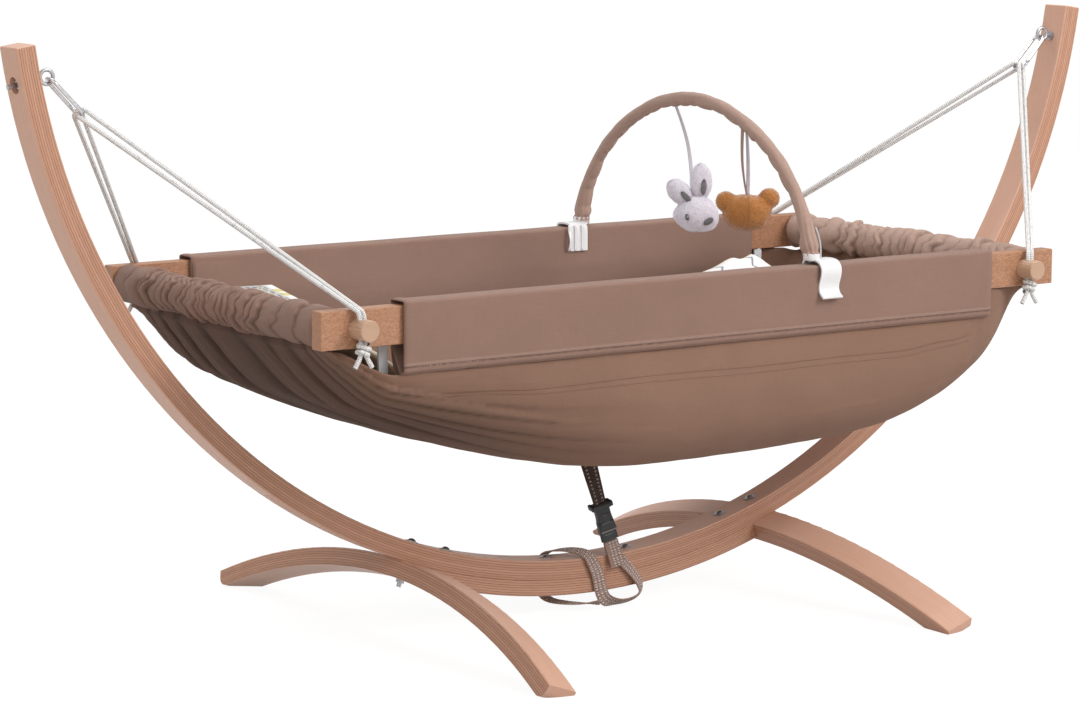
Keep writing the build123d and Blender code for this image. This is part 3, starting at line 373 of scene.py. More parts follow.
def smooth_line(name, points, between=14):
    """The points of a smooth curve that is steered by the given points."""
    curve = bpy.data.curves.new(name, "CURVE")
    curve.dimensions = "3D"
    spline = curve.splines.new("NURBS")
    spline.points.add(len(points) - 1)
    for mark, point in zip(spline.points, points):
        mark.co = (*point, 1.0)
    spline.order_u = 3
    spline.use_endpoint_u = True
    spline.resolution_u = between
    guide = bpy.data.objects.new(name, curve)
    bpy.context.scene.collection.objects.link(guide)
    bpy.context.view_layer.update()
    mesh = bpy.data.meshes.new_from_object(guide)
    line = [vertex.co.copy() for vertex in mesh.vertices]
    bpy.data.objects.remove(guide)
    bpy.data.meshes.remove(mesh)
    return line


def run_along(line):
    """How far along a line each of its points lies."""
    lengths = [0.0]
    for first, second in zip(line, line[1:]):
        lengths.append(lengths[-1] + (second - first).length)
    return lengths


def even_spots(line, count):
    """Where to cut a line in even steps: the point before each cut and the share beyond."""
    lengths = run_along(line)
    spots = []
    index = 0
    for number in range(count + 1):
        goal = lengths[-1] * number / count
        while index < len(line) - 2 and lengths[index + 1] < goal:
            index += 1
        spots.append((index, (goal - lengths[index]) / max(lengths[index + 1] - lengths[index], 1e-9)))
    return spots


def even_line(line, step):
    """The same line with its points a step apart."""
    count = max(2, round(run_along(line)[-1] / step))
    return [line[index].lerp(line[index + 1], share) for index, share in even_spots(line, count)]


def lay_cloth(name, rows, finish, around=False, painted_shades=None):
    """A piece laid over rows of points, with its own lengths in metres as UV; painted shade, when given,
    goes in a second UV layer.
    """
    columns = len(rows[0])
    wide = columns if around else columns - 1
    faces = []
    for row in range(len(rows) - 1):
        for column in range(wide):
            after = (column + 1) % columns
            faces.append((row * columns + column, row * columns + after,
                          (row + 1) * columns + after, (row + 1) * columns + column))
    mesh = bpy.data.meshes.new(name)
    mesh.from_pydata([tuple(point) for points in rows for point in points], [], faces)
    middle = rows[len(rows) // 2]
    across = run_along(middle + middle[:1])
    down = run_along([points[columns // 2] for points in rows])
    marks = mesh.uv_layers.new(name="cloth")
    corners = ((0, 0), (0, 1), (1, 1), (1, 0))
    for face in mesh.polygons:
        row, column = divmod(face.index, wide)
        for loop, (further, beside) in zip(face.loop_indices, corners):
            marks.data[loop].uv = (down[row + further], across[column + beside])
    # Painted shade: the fold UV layer holds, from 0 to 1, how far the finish darkens each corner.
    if painted_shades:
        painted_shade_layer = mesh.uv_layers.new(name="fold")
        for face in mesh.polygons:
            row, column = divmod(face.index, wide)
            for loop, (further, beside) in zip(face.loop_indices, corners):
                painted_shade_layer.data[loop].uv = (painted_shades[row + further][(column + beside) % columns], 0.0)
    mesh.materials.append(finish.material)
    mesh.shade_smooth()
    piece = bpy.data.objects.new(name, mesh)
    bpy.context.scene.collection.objects.link(piece)
    return piece


def tube_rows(line, side_hint, spokes, radius_at):
    """Rings of points round a line, without a twist; radius_at takes the place and turn."""
    rows = []
    side = Vector(side_hint)
    for index, (point, travelled) in enumerate(zip(line, run_along(line))):
        tangent = (line[min(index + 1, len(line) - 1)] - line[max(index - 1, 0)]).normalized()
        side = (side - tangent * side.dot(tangent)).normalized()
        normal = tangent.cross(side)
        rows.append([])
        for spoke in range(spokes):
            turn = 2 * math.pi * spoke / spokes
            way = side * math.cos(turn) + normal * math.sin(turn)
            rows[-1].append(point + way * radius_at(travelled, turn))
    return rows


braid = Finish("braided_cord", roughness=0.85, sheen=0.3)
along, round_it = braid.parts(braid.cloth_place)[:2]
slant = round_it * (rope_strands / 2 / rope_radius)
crossing = (along * lay_pitch + slant).sine() * (along * lay_pitch - slant).sine()
fleck = braid.cloud(braid.point(along * 170, round_it * 300, 0.0), 1.0, 2.0).step(0.56, 0.66)
# Painted shade: the white cord is darker where its strands dip between crossings.
cord_colour = braid.mix(crossing.step(-0.9, 0.2), braid_gap_shade, cord_white)
braid.put("Base Color", braid.mix(fleck * 0.45, cord_colour, cord_fleck))
braid.relief(crossing, 0.0004)


def braid_radius(place, turn):
    """The crossing strands of the braid stand a little proud."""
    one = math.sin(turn * rope_strands / 2 + place * lay_pitch)
    two = math.sin(turn * rope_strands / 2 - place * lay_pitch)
    return rope_radius * (0.97 + 0.05 * one * two)


for name, side, end in (("front_left_rope", -1, -1), ("back_left_rope", -1, 1),
                        ("front_right_rope", 1, -1), ("back_right_rope", 1, 1)):
    mouth = Vector((side * peg_x, end * peg_hole_y, mouth_height))
    bend = Vector((side * hook_bend[0], 0, hook_bend[1]))
    turn_end = bend + (mouth - bend).normalized() * loop_rise
    across = Vector((side * hook_across[0], 0, hook_across[1])) * loop_offset
    sideways = Vector((side * strand_offset, 0, 0))
    half_way = []
    for way in (1, -1):
        foot = mouth + sideways * way - Vector((0, 0, rope_foot))
        top = mouth + sideways * way + Vector((0, 0, mouth_lip))
        corner = turn_end + across * way
        pull = (corner - top).normalized()
        half_way.append([foot, top, top + pull * 0.012, corner - pull * loop_places[0],
                         corner - pull * loop_places[1], corner])
    route = half_way[0] + half_way[1][::-1]
    rope_line = even_line(smooth_line(name + "_line", route, 24), 0.0014)
    rope = lay_cloth(name + "_braid", tube_rows(rope_line, (0, 1, 0.1), 16, braid_radius), braid,
                     around=True)
    if side < 0:
        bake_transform(rope)
    else:
        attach(rope, "right_ropes")
    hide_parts(name)

# Knots: under each peg both strands are tied in one overhand knot, with two cut tails
# that splay apart and show the cord's dark core.
knot_top = 0.4131
knot_height = 0.016
knot_reach = 0.0062
knot_turns = 2.15
tail_length = 0.017
tail_splay = math.radians(24)
cut_core = Finish("cord_core", roughness=0.95)
cut_core.put("Base Color", cut_core.mix(cut_core.cloud(cut_core.place, 900.0), (0.10, 0.09, 0.09),
                                       (0.42, 0.40, 0.38)))


for side, side_name in ((-1, "left"), (1, "right")):
    for end, end_name in ((-1, "front"), (1, "back")):
        centre = Vector((side * peg_x, end * peg_hole_y, knot_top - knot_height / 2))
        twist = random.Random(side * 3 + end)
        turns = []
        for step in range(34):
            share = step / 33
            angle = 2 * math.pi * knot_turns * share + twist.uniform(0, 0.4) + side
            wide = knot_reach + 0.0011 * math.sin(angle * 1.5)
            high = (0.5 - share) * knot_height * 0.86 + 0.0012 * math.sin(2 * angle)
            turns.append(centre + Vector((wide * math.cos(angle), wide * math.sin(angle), high)))
        pieces = [turns]
        for way in (-1, 1):
            start = centre + Vector((way * strand_offset * 0.9, 0, knot_height * 0.5))
            low = centre + Vector((way * strand_offset, 0, -knot_height * 0.42))
            lean = Vector((way * math.sin(tail_splay), twist.uniform(-0.15, 0.15), -math.cos(tail_splay)))
            pieces.append([start, centre + Vector((way * 0.002, 0, 0)), low, low + lean * tail_length * 0.5,
                           low + lean * tail_length + Vector((way * 0.0012, 0, 0.0004))])
        for number, points in enumerate(pieces):
            line = even_line(smooth_line("knot_line", points, 8), 0.0012)
            knot = lay_cloth(f"{end_name}_{side_name}_knot_{number}",
                             tube_rows(line, (0.3, 1, 0.2), 14, braid_radius), braid, around=True)
            if number:
                bpy.ops.mesh.primitive_cylinder_add(vertices=14, radius=rope_radius * 0.9, depth=0.0008)
                core = bpy.context.object
                tail_way = (line[-1] - line[-2]).to_track_quat("Z", "Y").to_matrix().to_4x4()
                core.data.transform(Matrix.Translation(line[-1]) @ tail_way)
                core.name = f"{end_name}_{side_name}_cut_end_{number}"
                core.data.materials.append(cut_core.material)
                core.parent = knot
            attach(knot, "cradle")
            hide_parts("rope_knots")

# Rails and cross bars: fine fleck board with a satin varnish and a light eased edge.
# The rails lie in the sling's sleeves, and the cross bars join them at both ends.
board = Finish("rail_board", roughness=0.5, coat=0.1)
x, y, z = board.parts(board.place)
fleck = board.cloud(board.point(x * 260, y * 700, z * 700), 1.0, 4.0, 0.7)
dark_fleck = board.cloud(board.point(x * 420, y * 900, z * 900), 1.0, 2.0).step(0.6, 0.72)
streak = board.cloud(board.point(x * 4, y * 40, z * 60), 3.0, 4.0)
board_colour = board.mix(fleck.step(0.35, 0.65), (0.36, 0.165, 0.085), (0.52, 0.27, 0.155))
board_colour = board.mix(streak.step(0.35, 0.7) * 0.35, board_colour, (0.33, 0.15, 0.08))
board.put("Base Color", board.mix(dark_fleck * 0.5, board_colour, (0.20, 0.085, 0.04)))
board.relief(fleck - dark_fleck, 0.0003)
board.dress("front_rail", "back_rail", "cross_bars")

# Pegs: turned beech dowels, glued into the rails, with growth rings on their cut ends.
# Each is bored upright for its rope.
ring_centre = (0.495, 0.412)
ring_width = 0.0021
turned = Finish("peg_beech", roughness=0.45, coat=0.1)
x, y, z = turned.parts(turned.place)
ring_x = abs(x) - ring_centre[0]
ring_z = z - ring_centre[1]
ring = (ring_x * ring_x + ring_z * ring_z).root() / ring_width + turned.cloud(turned.place, 90.0) * 1.4
ring = ring.fraction().step(0.0, 0.9)
pore = turned.cloud(turned.point(x * 700, y * 60, z * 700), 1.0, 2.0).step(0.55, 0.7)
ring_colour = turned.mix(ring, (0.62, 0.41, 0.28), (0.50, 0.31, 0.20))
turned.put("Base Color", turned.mix(pore * 0.3, ring_colour, (0.34, 0.19, 0.12)))
turned.relief(ring + pore, 0.0002)
turned.dress("pegs")


# Sling: taupe canvas cut as a boat.  Its left end is drawn into long pleats that run out
# along the belly; a second seam curves below the hem of the rail sleeves.
bar_x = 0.527
sling_top = 0.3685
sling_depth = 0.171
sling_half = 0.2495
end_half = 0.227
end_edge = 0.3985
free_share = 0.845
rail_bottom = 0.4032
section_power = 2 / 3
outline_steps = 360
drawn_from = 0.80
pleat_bulge = 0.011
pleat_swell = 0.0095
sling_cloth = 0.0025
mouth_tucks = (0.0045, 0.0105)
tuck_narrowing = 5
thread_gap = 0.0013
weave_depth = 0.00035
mottle = 0.35
taupe = ((0.335, 0.200, 0.152), (0.245, 0.140, 0.103))
# Painted shade colour, for the pleat valleys, the gather valleys and the sling's shaded end.
painted_shade_colour = (0.048, 0.017, 0.007)
hem_height = 0.3772
hem_ridge = 0.0030
flap_face = (0.2530, 0.2536)
# Painted highlight along the hem's ridge, and painted shade in its crease.
ridge_highlight_colour = (0.47, 0.31, 0.25)
crease_shade_colour = (0.10, 0.045, 0.030)


def weave(finish, light, dark, hemmed=False):
    """Plain weave: crossed threads of uneven thickness; hemmed adds painted shade in the flap's hem crease
    and a painted highlight on the ridge above it.
    """
    length, width = finish.parts(finish.cloth_place)[:2]
    slub = finish.cloud(finish.point(length * 40, width * 900, 0.0), 1.0, 2.0)
    slub = slub + finish.cloud(finish.point(length * 900, width * 40, 3.0), 1.0, 2.0)
    warp = (length * (2 * math.pi / thread_gap)).sine()
    weft = (width * (2 * math.pi / thread_gap)).sine()
    threads = abs(warp * weft) * 0.6 + slub * 0.5
    bloom = finish.cloud(finish.place, 9.0, 4.0, 0.6)
    colour = finish.mix(threads.step(0.25, 0.95), dark, light)
    colour = finish.mix(bloom.step(0.3, 0.75) * mottle, colour, dark)
    ridges = threads
    if hemmed:
        along, across, height = finish.parts(finish.place)
        outer = abs(across).step(*flap_face)
        dash = finish.cloud(finish.point(along * 120, 0.0, 0.0), 1.0, 2.0).step(0.35, 0.60)
        # Painted shade in the hem's crease, broken into dashes, and a painted highlight on the ridge above
        # it; both also shape the relief.
        crease = abs(height - hem_height).step(0.0013, 0.0005) * outer * (dash * 0.55 + 0.45)
        ridge = abs(height - hem_height - hem_ridge).step(0.0022, 0.0010) * outer
        colour = finish.mix(ridge * 0.30, colour, ridge_highlight_colour)
        colour = finish.mix(crease * 0.60, colour, crease_shade_colour)
        ridges = threads + ridge * 1.5 - crease * 2.0
    # Painted shade: the fold UV layer darkens the canvas towards the painted shade colour; pieces without
    # that layer are not darkened.
    fold = finish.parts(finish.node("UVMap", {"uv_map": "fold"}, {}).outputs[0])[0]
    finish.put("Base Color", finish.mix(fold, colour, painted_shade_colour))
    finish.put("Roughness", 0.82 + threads * 0.15)
    finish.relief(ridges, weave_depth)


canvas = Finish("taupe_canvas", roughness=0.9, sheen=0.12)
weave(canvas, *taupe)
flap_canvas = Finish("flap_canvas", roughness=0.9, sheen=0.12)
weave(flap_canvas, *taupe, hemmed=True)
# The sling and its seams use a warmer copy of the taupe canvas: painted shade for the belly.
belly_canvas = Finish("belly_canvas", roughness=0.9, sheen=0.08)
weave(belly_canvas, (0.335, 0.188, 0.127), (0.245, 0.132, 0.085))


def clamp(value):
    """The value, held between 0 and 1."""
    return min(max(value, 0), 1)


def eased(share):
    """A share that leaves 0 and meets 1 without a corner."""
    return share * share * (3 - 2 * share)


def sling_shape(place):
    """Half width, top edge, depth and pleat depth of the sling at one place."""
    reach = abs(place)
    free = max(reach - free_share, 0) / (1 - free_share)
    width_share = (1 + math.cos(math.pi * free)) / 2
    if place < 0:
        depth_share = (1 - min(reach, 1) ** 1.7) ** 0.95
        pleat_share = reach**1.5 * min(1, 0.25 + (1 - reach) / 0.08)
    else:
        depth_share = (1 - 0.15 * reach**2) * (1 - min(reach, 1) ** 8) ** 1.5
        pleat_share = 0.25 * reach**6
    top = end_edge + (sling_top - end_edge) * width_share
    return (end_half + (sling_half - end_half) * width_share, top,
            (top - sling_top + sling_depth) * depth_share + sling_cloth, pleat_bulge * pleat_share)


pleat_draw = random.Random(11)
pleat_lines = [0.0]
while pleat_lines[-1] < 1:
    pleat_lines.append(pleat_lines[-1] + pleat_draw.uniform(0.045, 0.105))
pleat_lines = [line / pleat_lines[-1] for line in pleat_lines]
pleat_fulls = [pleat_draw.uniform(0.55, 1.0) for line in pleat_lines]
pleat_runs = [pleat_draw.uniform(1.0, 2.6) for line in pleat_lines]
section_cache = {}


def sling_section(place):
    """The sling's outline at one place, from the back hem under the belly to the front hem."""
    if place in section_cache:
        return section_cache[place]
    half, top, depth = sling_shape(place)[:3]
    drawn_up = clamp((place - drawn_from) / 0.04) * min((1 - place) / 0.05, 1)
    closed = (rail_bottom - top) * eased(drawn_up)
    outline = []
    for step in range(outline_steps + 1):
        turn = math.pi * step / outline_steps
        across = math.copysign(abs(math.cos(turn)) ** section_power, math.cos(turn))
        fall = abs(math.sin(turn)) ** section_power
        outline.append(Vector((0, half * across, top - depth * fall + closed * (1 - fall) ** 3)))
    section_cache[place] = outline
    return outline


def pleat_at(place, share):
    """How far along its fold a point is, from 0 in a valley to 1, and the fold's number."""
    drift = 0.012 * math.sin(5 * share + 4 * place) * (1 - abs(place))
    mark = min(max(share + drift, 0), 0.99999)
    number = max(index for index, line in enumerate(pleat_lines) if line <= mark)
    between = (mark - pleat_lines[number]) / (pleat_lines[number + 1] - pleat_lines[number])
    return (4 * between * (1 - between)) ** 0.5, number


def sling_point(place, share, outline, lift=0.0):
    """A point of the sling's outer face; share runs from the back hem to the front one."""
    spot = share * (len(outline) - 1)
    index = min(int(spot), len(outline) - 2)
    base = outline[index].lerp(outline[index + 1], spot - index)
    tangent = (outline[min(index + 2, len(outline) - 1)] - outline[max(index - 1, 0)]).normalized()
    outward = Vector((0, -tangent.z, tangent.y)) * -1
    if outward.z > 0 and abs(tangent.y) > 0.5:
        outward = -outward
    reach = abs(place)
    bulge = sling_shape(place)[3]
    scallop, number = pleat_at(place, share)
    hang = max(math.sin(math.pi * share), 0.0)
    rise = bulge * hang**0.6 * scallop * pleat_fulls[number] * 1.15
    if place < 0:
        rise += pleat_swell * scallop * pleat_fulls[number] * reach ** (0.9 * pleat_runs[number]) * hang
        fine = math.sin(2 * math.pi * (share * 46 + 2 * math.sin(3 * place)))
        rise += 0.0007 * fine * reach**2
    slack = noise.noise(Vector((place * 3.2, share * 5.0, 1.7)))
    rise += 0.0016 * slack * hang
    rise += 0.0006 * noise.noise(Vector((place * 15, share * 26, 4.2)))
    rise *= min(1, 0.3 + (1 - reach) / 0.03)
    return Vector((place * bar_x, base.y, base.z)) + outward * (rise + lift)


def painted_sling_shade(place, share):
    """Painted shade at a point: deep between the pleats of the left end, and over the whole lower left end.
    """
    if place > 0:
        return 0.0
    scallop, number = pleat_at(place, share)
    run = clamp((-place - 0.12) / 0.55) ** (0.5 * pleat_runs[number])
    hang = max(math.sin(math.pi * share), 0.0)
    # Painted shade over the lower left end, on top of the shade in the pleat valleys.
    shade = 0.70 * clamp((-place - 0.2) / 0.5) * min(hang * 1.2, 1)
    return min(shade + (1 - scallop) ** 1.3 * run * 0.75 * min(hang * 1.6, 1), 0.92)


def change(piece, kind, **settings):
    """Give a piece one modifier and apply it."""
    bpy.ops.object.select_all(action="DESELECT")
    piece.select_set(True)
    bpy.context.view_layer.objects.active = piece
    modifier = piece.modifiers.new(kind.title(), kind)
    for setting, value in settings.items():
        setattr(modifier, setting, value)
    bpy.ops.object.modifier_apply(modifier=modifier.name)


# Each row of the sling carries its painted shade beside its points.
sling_rows = []
sling_painted_shades = []
for step in range(201):
    along = step / 100 - 1
    place = math.sin(math.pi / 2 * along) * 0.6 + along * 0.4
    outline = sling_section(place)
    shares = [(index + share) / outline_steps for index, share in even_spots(outline, 196)]
    sling_rows.append([sling_point(place, share, outline) for share in shares])
    sling_painted_shades.append([painted_sling_shade(place, share) for share in shares])
mouths = [[[Vector((point.x, point.y * (1 - tuck * tuck_narrowing), end_edge + tuck)) for point in row]
           for tuck in mouth_tucks] for row in (sling_rows[0], sling_rows[-1])]
sling_rows = mouths[0][::-1] + sling_rows + mouths[1]
sling_painted_shades = sling_painted_shades[:1] * 2 + sling_painted_shades + sling_painted_shades[-1:] * 2
sling = lay_cloth("sling_canvas", sling_rows, belly_canvas, painted_shades=sling_painted_shades)
change(sling, "SOLIDIFY", thickness=0.0016, offset=1.0)
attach(sling, "cradle")
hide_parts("sling")
stitch_size = (0.0034, 0.0012, 0.0006)
stitch_points = ((-0.5, 0, -0.2), (-0.25, 0.5, 0.0), (0.25, 0.5, 0.0), (0.5, 0, -0.2),
                 (0.25, -0.5, 0.0), (-0.25, -0.5, 0.0), (-0.2, 0, 1.0), (0.2, 0, 1.0))
stitch_faces = ((0, 1, 6), (1, 2, 7, 6), (2, 3, 7), (3, 4, 7), (4, 5, 6, 7), (5, 0, 6))
flap_bottom = 0.372
seam_start = -0.380
seam_run = 0.794
seam_steps = 216
seam_half = 0.0035
seam_drops = ((-0.442, 0.0265), (-0.36, 0.034), (-0.235, 0.040), (-0.078, 0.0385), (0.077, 0.0405),
              (0.2, 0.0395), (0.3, 0.040), (0.38, 0.033), (0.42, 0.028))
seam_lifts = ((-1.0, -0.0006), (-0.8, 0.0009), (0.0, 0.0011), (0.8, 0.0009), (1.0, -0.0006))
thread = Finish("taupe_thread", roughness=0.7)
thread.put("Base Color", thread.mix(thread.cloud(thread.place, 600.0), (0.34, 0.22, 0.17),
                                    (0.56, 0.42, 0.34)))


def stitch_row(name, marks):
    """Thread stitches, one mesh; each mark is a place, a direction and a normal."""
    length, width, height = stitch_size
    points = []
    faces = []
    for place, direction, normal in marks:
        beside = direction.cross(normal).normalized()
        first = len(points)
        for ahead, aside, up in stitch_points:
            points.append(place + direction * ahead * length + beside * aside * width + normal * up * height)
        faces += [[first + corner for corner in corners] for corners in stitch_faces]
    mesh = bpy.data.meshes.new(name)
    mesh.from_pydata([tuple(point) for point in points], [], faces)
    mesh.materials.append(thread.material)
    piece = bpy.data.objects.new(name, mesh)
    bpy.context.scene.collection.objects.link(piece)
    return piece


def seam_height(x):
    """How high the second seam runs on the sling's side."""
    for (first_x, first), (second_x, second) in zip(seam_drops, seam_drops[1:]):
        if x <= second_x:
            share = eased(clamp((x - first_x) / (second_x - first_x)))
            return flap_bottom - (first + (second - first) * share)
    return flap_bottom - seam_drops[-1][1]


for end, side_name in ((-1, "front"), (1, "back")):
    felled = []
    marks = []
    for step in range(seam_steps + 1):
        x = seam_start + seam_run * step / seam_steps
        place = x / bar_x
        outline = sling_section(place)
        height = seam_height(x)
        level = next(number for number in range(180) if outline[number + 1].z <= height)
        between = (outline[level].z - height) / (outline[level].z - outline[level + 1].z)
        spread = seam_half / run_along(outline)[-1]
        share = max((level + max(between, 0)) / outline_steps, spread)
        if end < 0:
            share = 1 - share
            spread = -spread
        felled.append([sling_point(place, share + spread * edge, outline, lift)
                       for edge, lift in seam_lifts])
        if step % 2 == 0:
            for edge in (-0.5, 0.5):
                outside = sling_point(place, share + spread * edge, outline, 0.0012)
                inside = sling_point(place, share + spread * edge, outline, -0.002)
                marks.append((outside, Vector((1, 0, 0)), (outside - inside).normalized()))
    seam = lay_cloth(f"{side_name}_sling_seam", felled, belly_canvas)
    stitches = stitch_row(f"{side_name}_seam_stitches", marks)
    for piece in (seam, stitches):
        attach(piece, "cradle")

# Lining: the canvas that comes down from each rail inside the sling, until it meets the
# sling's wall.  It hangs a little slack below the rail and keeps just clear of the wall.
lining_half = 0.440
lining_gap = 0.0045
lining_reach = 0.7
free_below = 0.404
free_run = 0.012
lining_line = ((0.2290, 0.4485), (0.2281, 0.4440), (0.2276, 0.4200), (0.2274, 0.4040), (0.2305, 0.3860),
               (0.2357, 0.3700), (0.2412, 0.3530), (0.2445, 0.3400), (0.2462, 0.3300))
for end, side_name in ((-1, "front"), (1, "back")):
    rows = []
    for step in range(141):
        x = -lining_half + 2 * lining_half * step / 140
        half, top, depth = sling_shape(x / bar_x)[:3]
        rows.append([])
        for number in range(25):
            spot = number / 24 * (len(lining_line) - 1)
            index = min(int(spot), len(lining_line) - 2)
            across, height = Vector(lining_line[index]).lerp(Vector(lining_line[index + 1]), spot - index)
            height = max(height, top - depth * lining_reach)
            slack = noise.noise(Vector((x * 6, height * 9, end * 2.0))) * 0.0022
            slack *= clamp((free_below - height) / free_run)
            taper = max(abs(x) - 0.36, 0) * 0.10 * number / 24
            wall = half * (1 - (max(top - height, 0) / depth) ** 3) ** (1 / 3) - lining_gap
            rows[-1].append(Vector((x, end * min(across - slack - taper, wall), height)))
    lining = lay_cloth(f"{side_name}_lining", rows if end < 0 else rows[::-1], canvas)
    change(lining, "SOLIDIFY", thickness=0.0012, offset=0.0)
    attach(lining, "cradle")

# Rail sleeves: the sling's canvas goes over each rail as a flat pocket.  Its outer flap
# ends in a hem that is stitched through, and both mouths are turned under and stitched.
sleeve_half = 0.442
sleeve_cloth = 0.0025
pocket = ((0.2495, 0.372), (0.2526, 0.3745), (0.2526, 0.4495), (0.2314, 0.4495), (0.2314, 0.404))
pocket_top = 0.449
rim_gap = 0.007
outer_from = 0.2500
pucker_height = 0.3745
pucker_gap = 0.0135
hem_lines = (0.3775, 0.3815)
hem_face = 0.2556
stitch_gap = 0.0046
rim = []
for index, corner in enumerate(pocket):
    before = Vector(pocket[index - 1])
    here = Vector(corner)
    after = Vector(pocket[(index + 1) % len(pocket)])
    into = (here - before).normalized()
    out = (after - here).normalized()
    start = math.atan2(-into.x, into.y)
    stop = math.atan2(-out.x, out.y)
    while stop < start:
        stop += 2 * math.pi
    for step in range(6):
        turn = start + (stop - start) * step / 5
        rim.append(here + Vector((math.cos(turn), math.sin(turn))) * sleeve_cloth)
    run = (after - here).length
    cuts = int(run / rim_gap)
    for step in range(1, cuts):
        rim.append(here + out * run * step / cuts + Vector((out.y, -out.x)) * sleeve_cloth)
for end, side_name in ((-1, "front"), (1, "back")):
    rows = []
    for step in range(181):
        x = -sleeve_half + 2 * sleeve_half * step / 180
        turned_under = 0.0007 if min(step, 180 - step) in (1, 2) else 0.0
        rows.append([])
        for across, height in rim:
            outer = across > outer_from
            on_top = height > pocket_top
            below = clamp((free_below - height) / free_run)
            ripple = noise.noise(Vector((x * 7.0, height * 11, end * 3.0)))
            ripple += 0.4 * noise.noise(Vector((x * 26.0, height * 30, end * 9.0)))
            shift = ripple * (0.0004 + 0.0013 * below) if outer else ripple * 0.0004
            pucker = math.exp(-((height - pucker_height) / 0.006) ** 2) * 0.0005
            pucker *= math.sin(x * 2 * math.pi / pucker_gap)
            lift = 0.0005 * noise.noise(Vector((x * 9.0, 4.0, end))) if on_top else 0.0
            reach = across + ((shift + pucker) + turned_under if outer else -turned_under - shift)
            rows[-1].append(Vector((x, end * reach, height + lift + (turned_under if on_top else 0))))
    if end > 0:
        rows = rows[::-1]
    sleeve = lay_cloth(f"{side_name}_sleeve_canvas", rows, flap_canvas, around=True)
    change(sleeve, "SOLIDIFY", thickness=0.0015, offset=-1.0)
    marks = []
    for line_height in hem_lines:
        for step in range(int(2 * sleeve_half / stitch_gap)):
            x = -sleeve_half + 0.004 + stitch_gap * step
            marks.append((Vector((x, end * hem_face, line_height)), Vector((1, 0, 0)), Vector((0, end, 0))))
    for way in (-1, 1):
        for step in range(15):
            place = Vector((way * (sleeve_half - 0.009), end * hem_face, 0.379 + stitch_gap * step))
            marks.append((place, Vector((0, 0, 1)), Vector((0, end, 0))))
    stitches = stitch_row(f"{side_name}_hem_stitches", marks)
    for piece in (sleeve, stitches):
        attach(piece, "cradle")
    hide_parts(f"{side_name}_sleeve")

# End sleeves: wide tubes of the same canvas, scrunched together on the cross bars, so
# they stand in deep uneven rings.
# The right end's tube uses a lighter copy of the same canvas: painted light.
sunlit_canvas = Finish("sunlit_canvas", roughness=0.9, sheen=0.15)
weave(sunlit_canvas, (0.545, 0.365, 0.290), (0.420, 0.270, 0.210))
bar_height = 0.426
gather_valley = 0.0192
gather_peak = 0.0278
gather_half = 0.2305
gather_steps = 420
gather_spokes = 72
gather_zones = {-1: ((-0.125, 0.026, 0.048), (0.165, 0.008, 0.020), (0.3, 0.030, 0.045)),
                1: ((-0.150, 0.014, 0.026), (0.150, 0.014, 0.030), (0.3, 0.024, 0.036))}
# Painted shade strength in the valleys between the rings, for the left and the right end.
gather_shade_strength = {-1: 0.85, 1: 0.45}


def round_noise(turn, reach, along):
    """Noise on a tube, which meets itself where a full turn closes."""
    return noise.noise(Vector((math.cos(turn) * reach, math.sin(turn) * reach, along)))


for side, side_name in ((-1, "left"), (1, "right")):
    gather_draw = random.Random(20 + side)
    valleys = [-gather_half]
    while valleys[-1] < gather_half:
        least, most = next((least, most) for limit, least, most in gather_zones[side] if valleys[-1] < limit)
        valleys.append(valleys[-1] + gather_draw.uniform(least, most))
    heights = [gather_draw.uniform(0.35, 1.0) for valley in valleys]
    slants = [gather_draw.uniform(-1, 1) for valley in valleys]
    rows = []
    gather_painted_shades = []
    for step in range(gather_steps + 1):
        y = -gather_half + 2 * gather_half * step / gather_steps
        rows.append([])
        gather_painted_shades.append([])
        for spoke in range(gather_spokes):
            turn = 2 * math.pi * spoke / gather_spokes
            wander = 0.024 * round_noise(turn, 0.9, y * 6 + side * 5)
            wander += 0.007 * round_noise(turn, 2.6, y * 20)
            wander += 0.005 * math.sin(turn * 2 + y * 22)
            spot = y + wander * min(1, (gather_half - abs(y)) / 0.03)
            spot = min(max(spot, -gather_half), gather_half - 1e-6)
            number = max(index for index, valley in enumerate(valleys) if valley <= spot)
            fold_width = valleys[number + 1] - valleys[number]
            between = ((spot - valleys[number]) / fold_width) ** (1 + 0.45 * slants[number])
            fold = (4 * between * (1 - between)) ** 0.42
            fullness = 0.55 + 0.45 * math.cos(turn * 2 + slants[number] * 6 + number)
            full = heights[number] * (0.55 + 0.45 * fullness)
            fine = round_noise(turn, 2.0, y * 160)
            bulk = 0.0013 * round_noise(turn, 1.0, y * 14 + 3)
            reach = gather_valley + (gather_peak - gather_valley) * fold * full + 0.0006 * fine + bulk
            rows[-1].append(Vector((side * bar_x + reach * math.cos(turn), y,
                                    bar_height + reach * math.sin(turn))))
            # Painted shade: darker deep in each valley between the rings, and darker on the tube's
            # underside.
            depth = max(1 - fold * 1.12, 0) ** 1.2 * gather_shade_strength[side] * min(0.022 / fold_width, 1)
            below = 0.22 * max(-math.sin(turn), 0)
            gather_painted_shades[-1].append(min(depth + below, 0.9))
    gathers = lay_cloth(f"{side_name}_end_gathers", rows[::-1], canvas if side < 0 else sunlit_canvas,
                        around=True, painted_shades=gather_painted_shades[::-1])
    change(gathers, "SOLIDIFY", thickness=0.0012, offset=-1.0)
    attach(gathers, "cradle")
    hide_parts(f"{side_name}_end_sleeve")

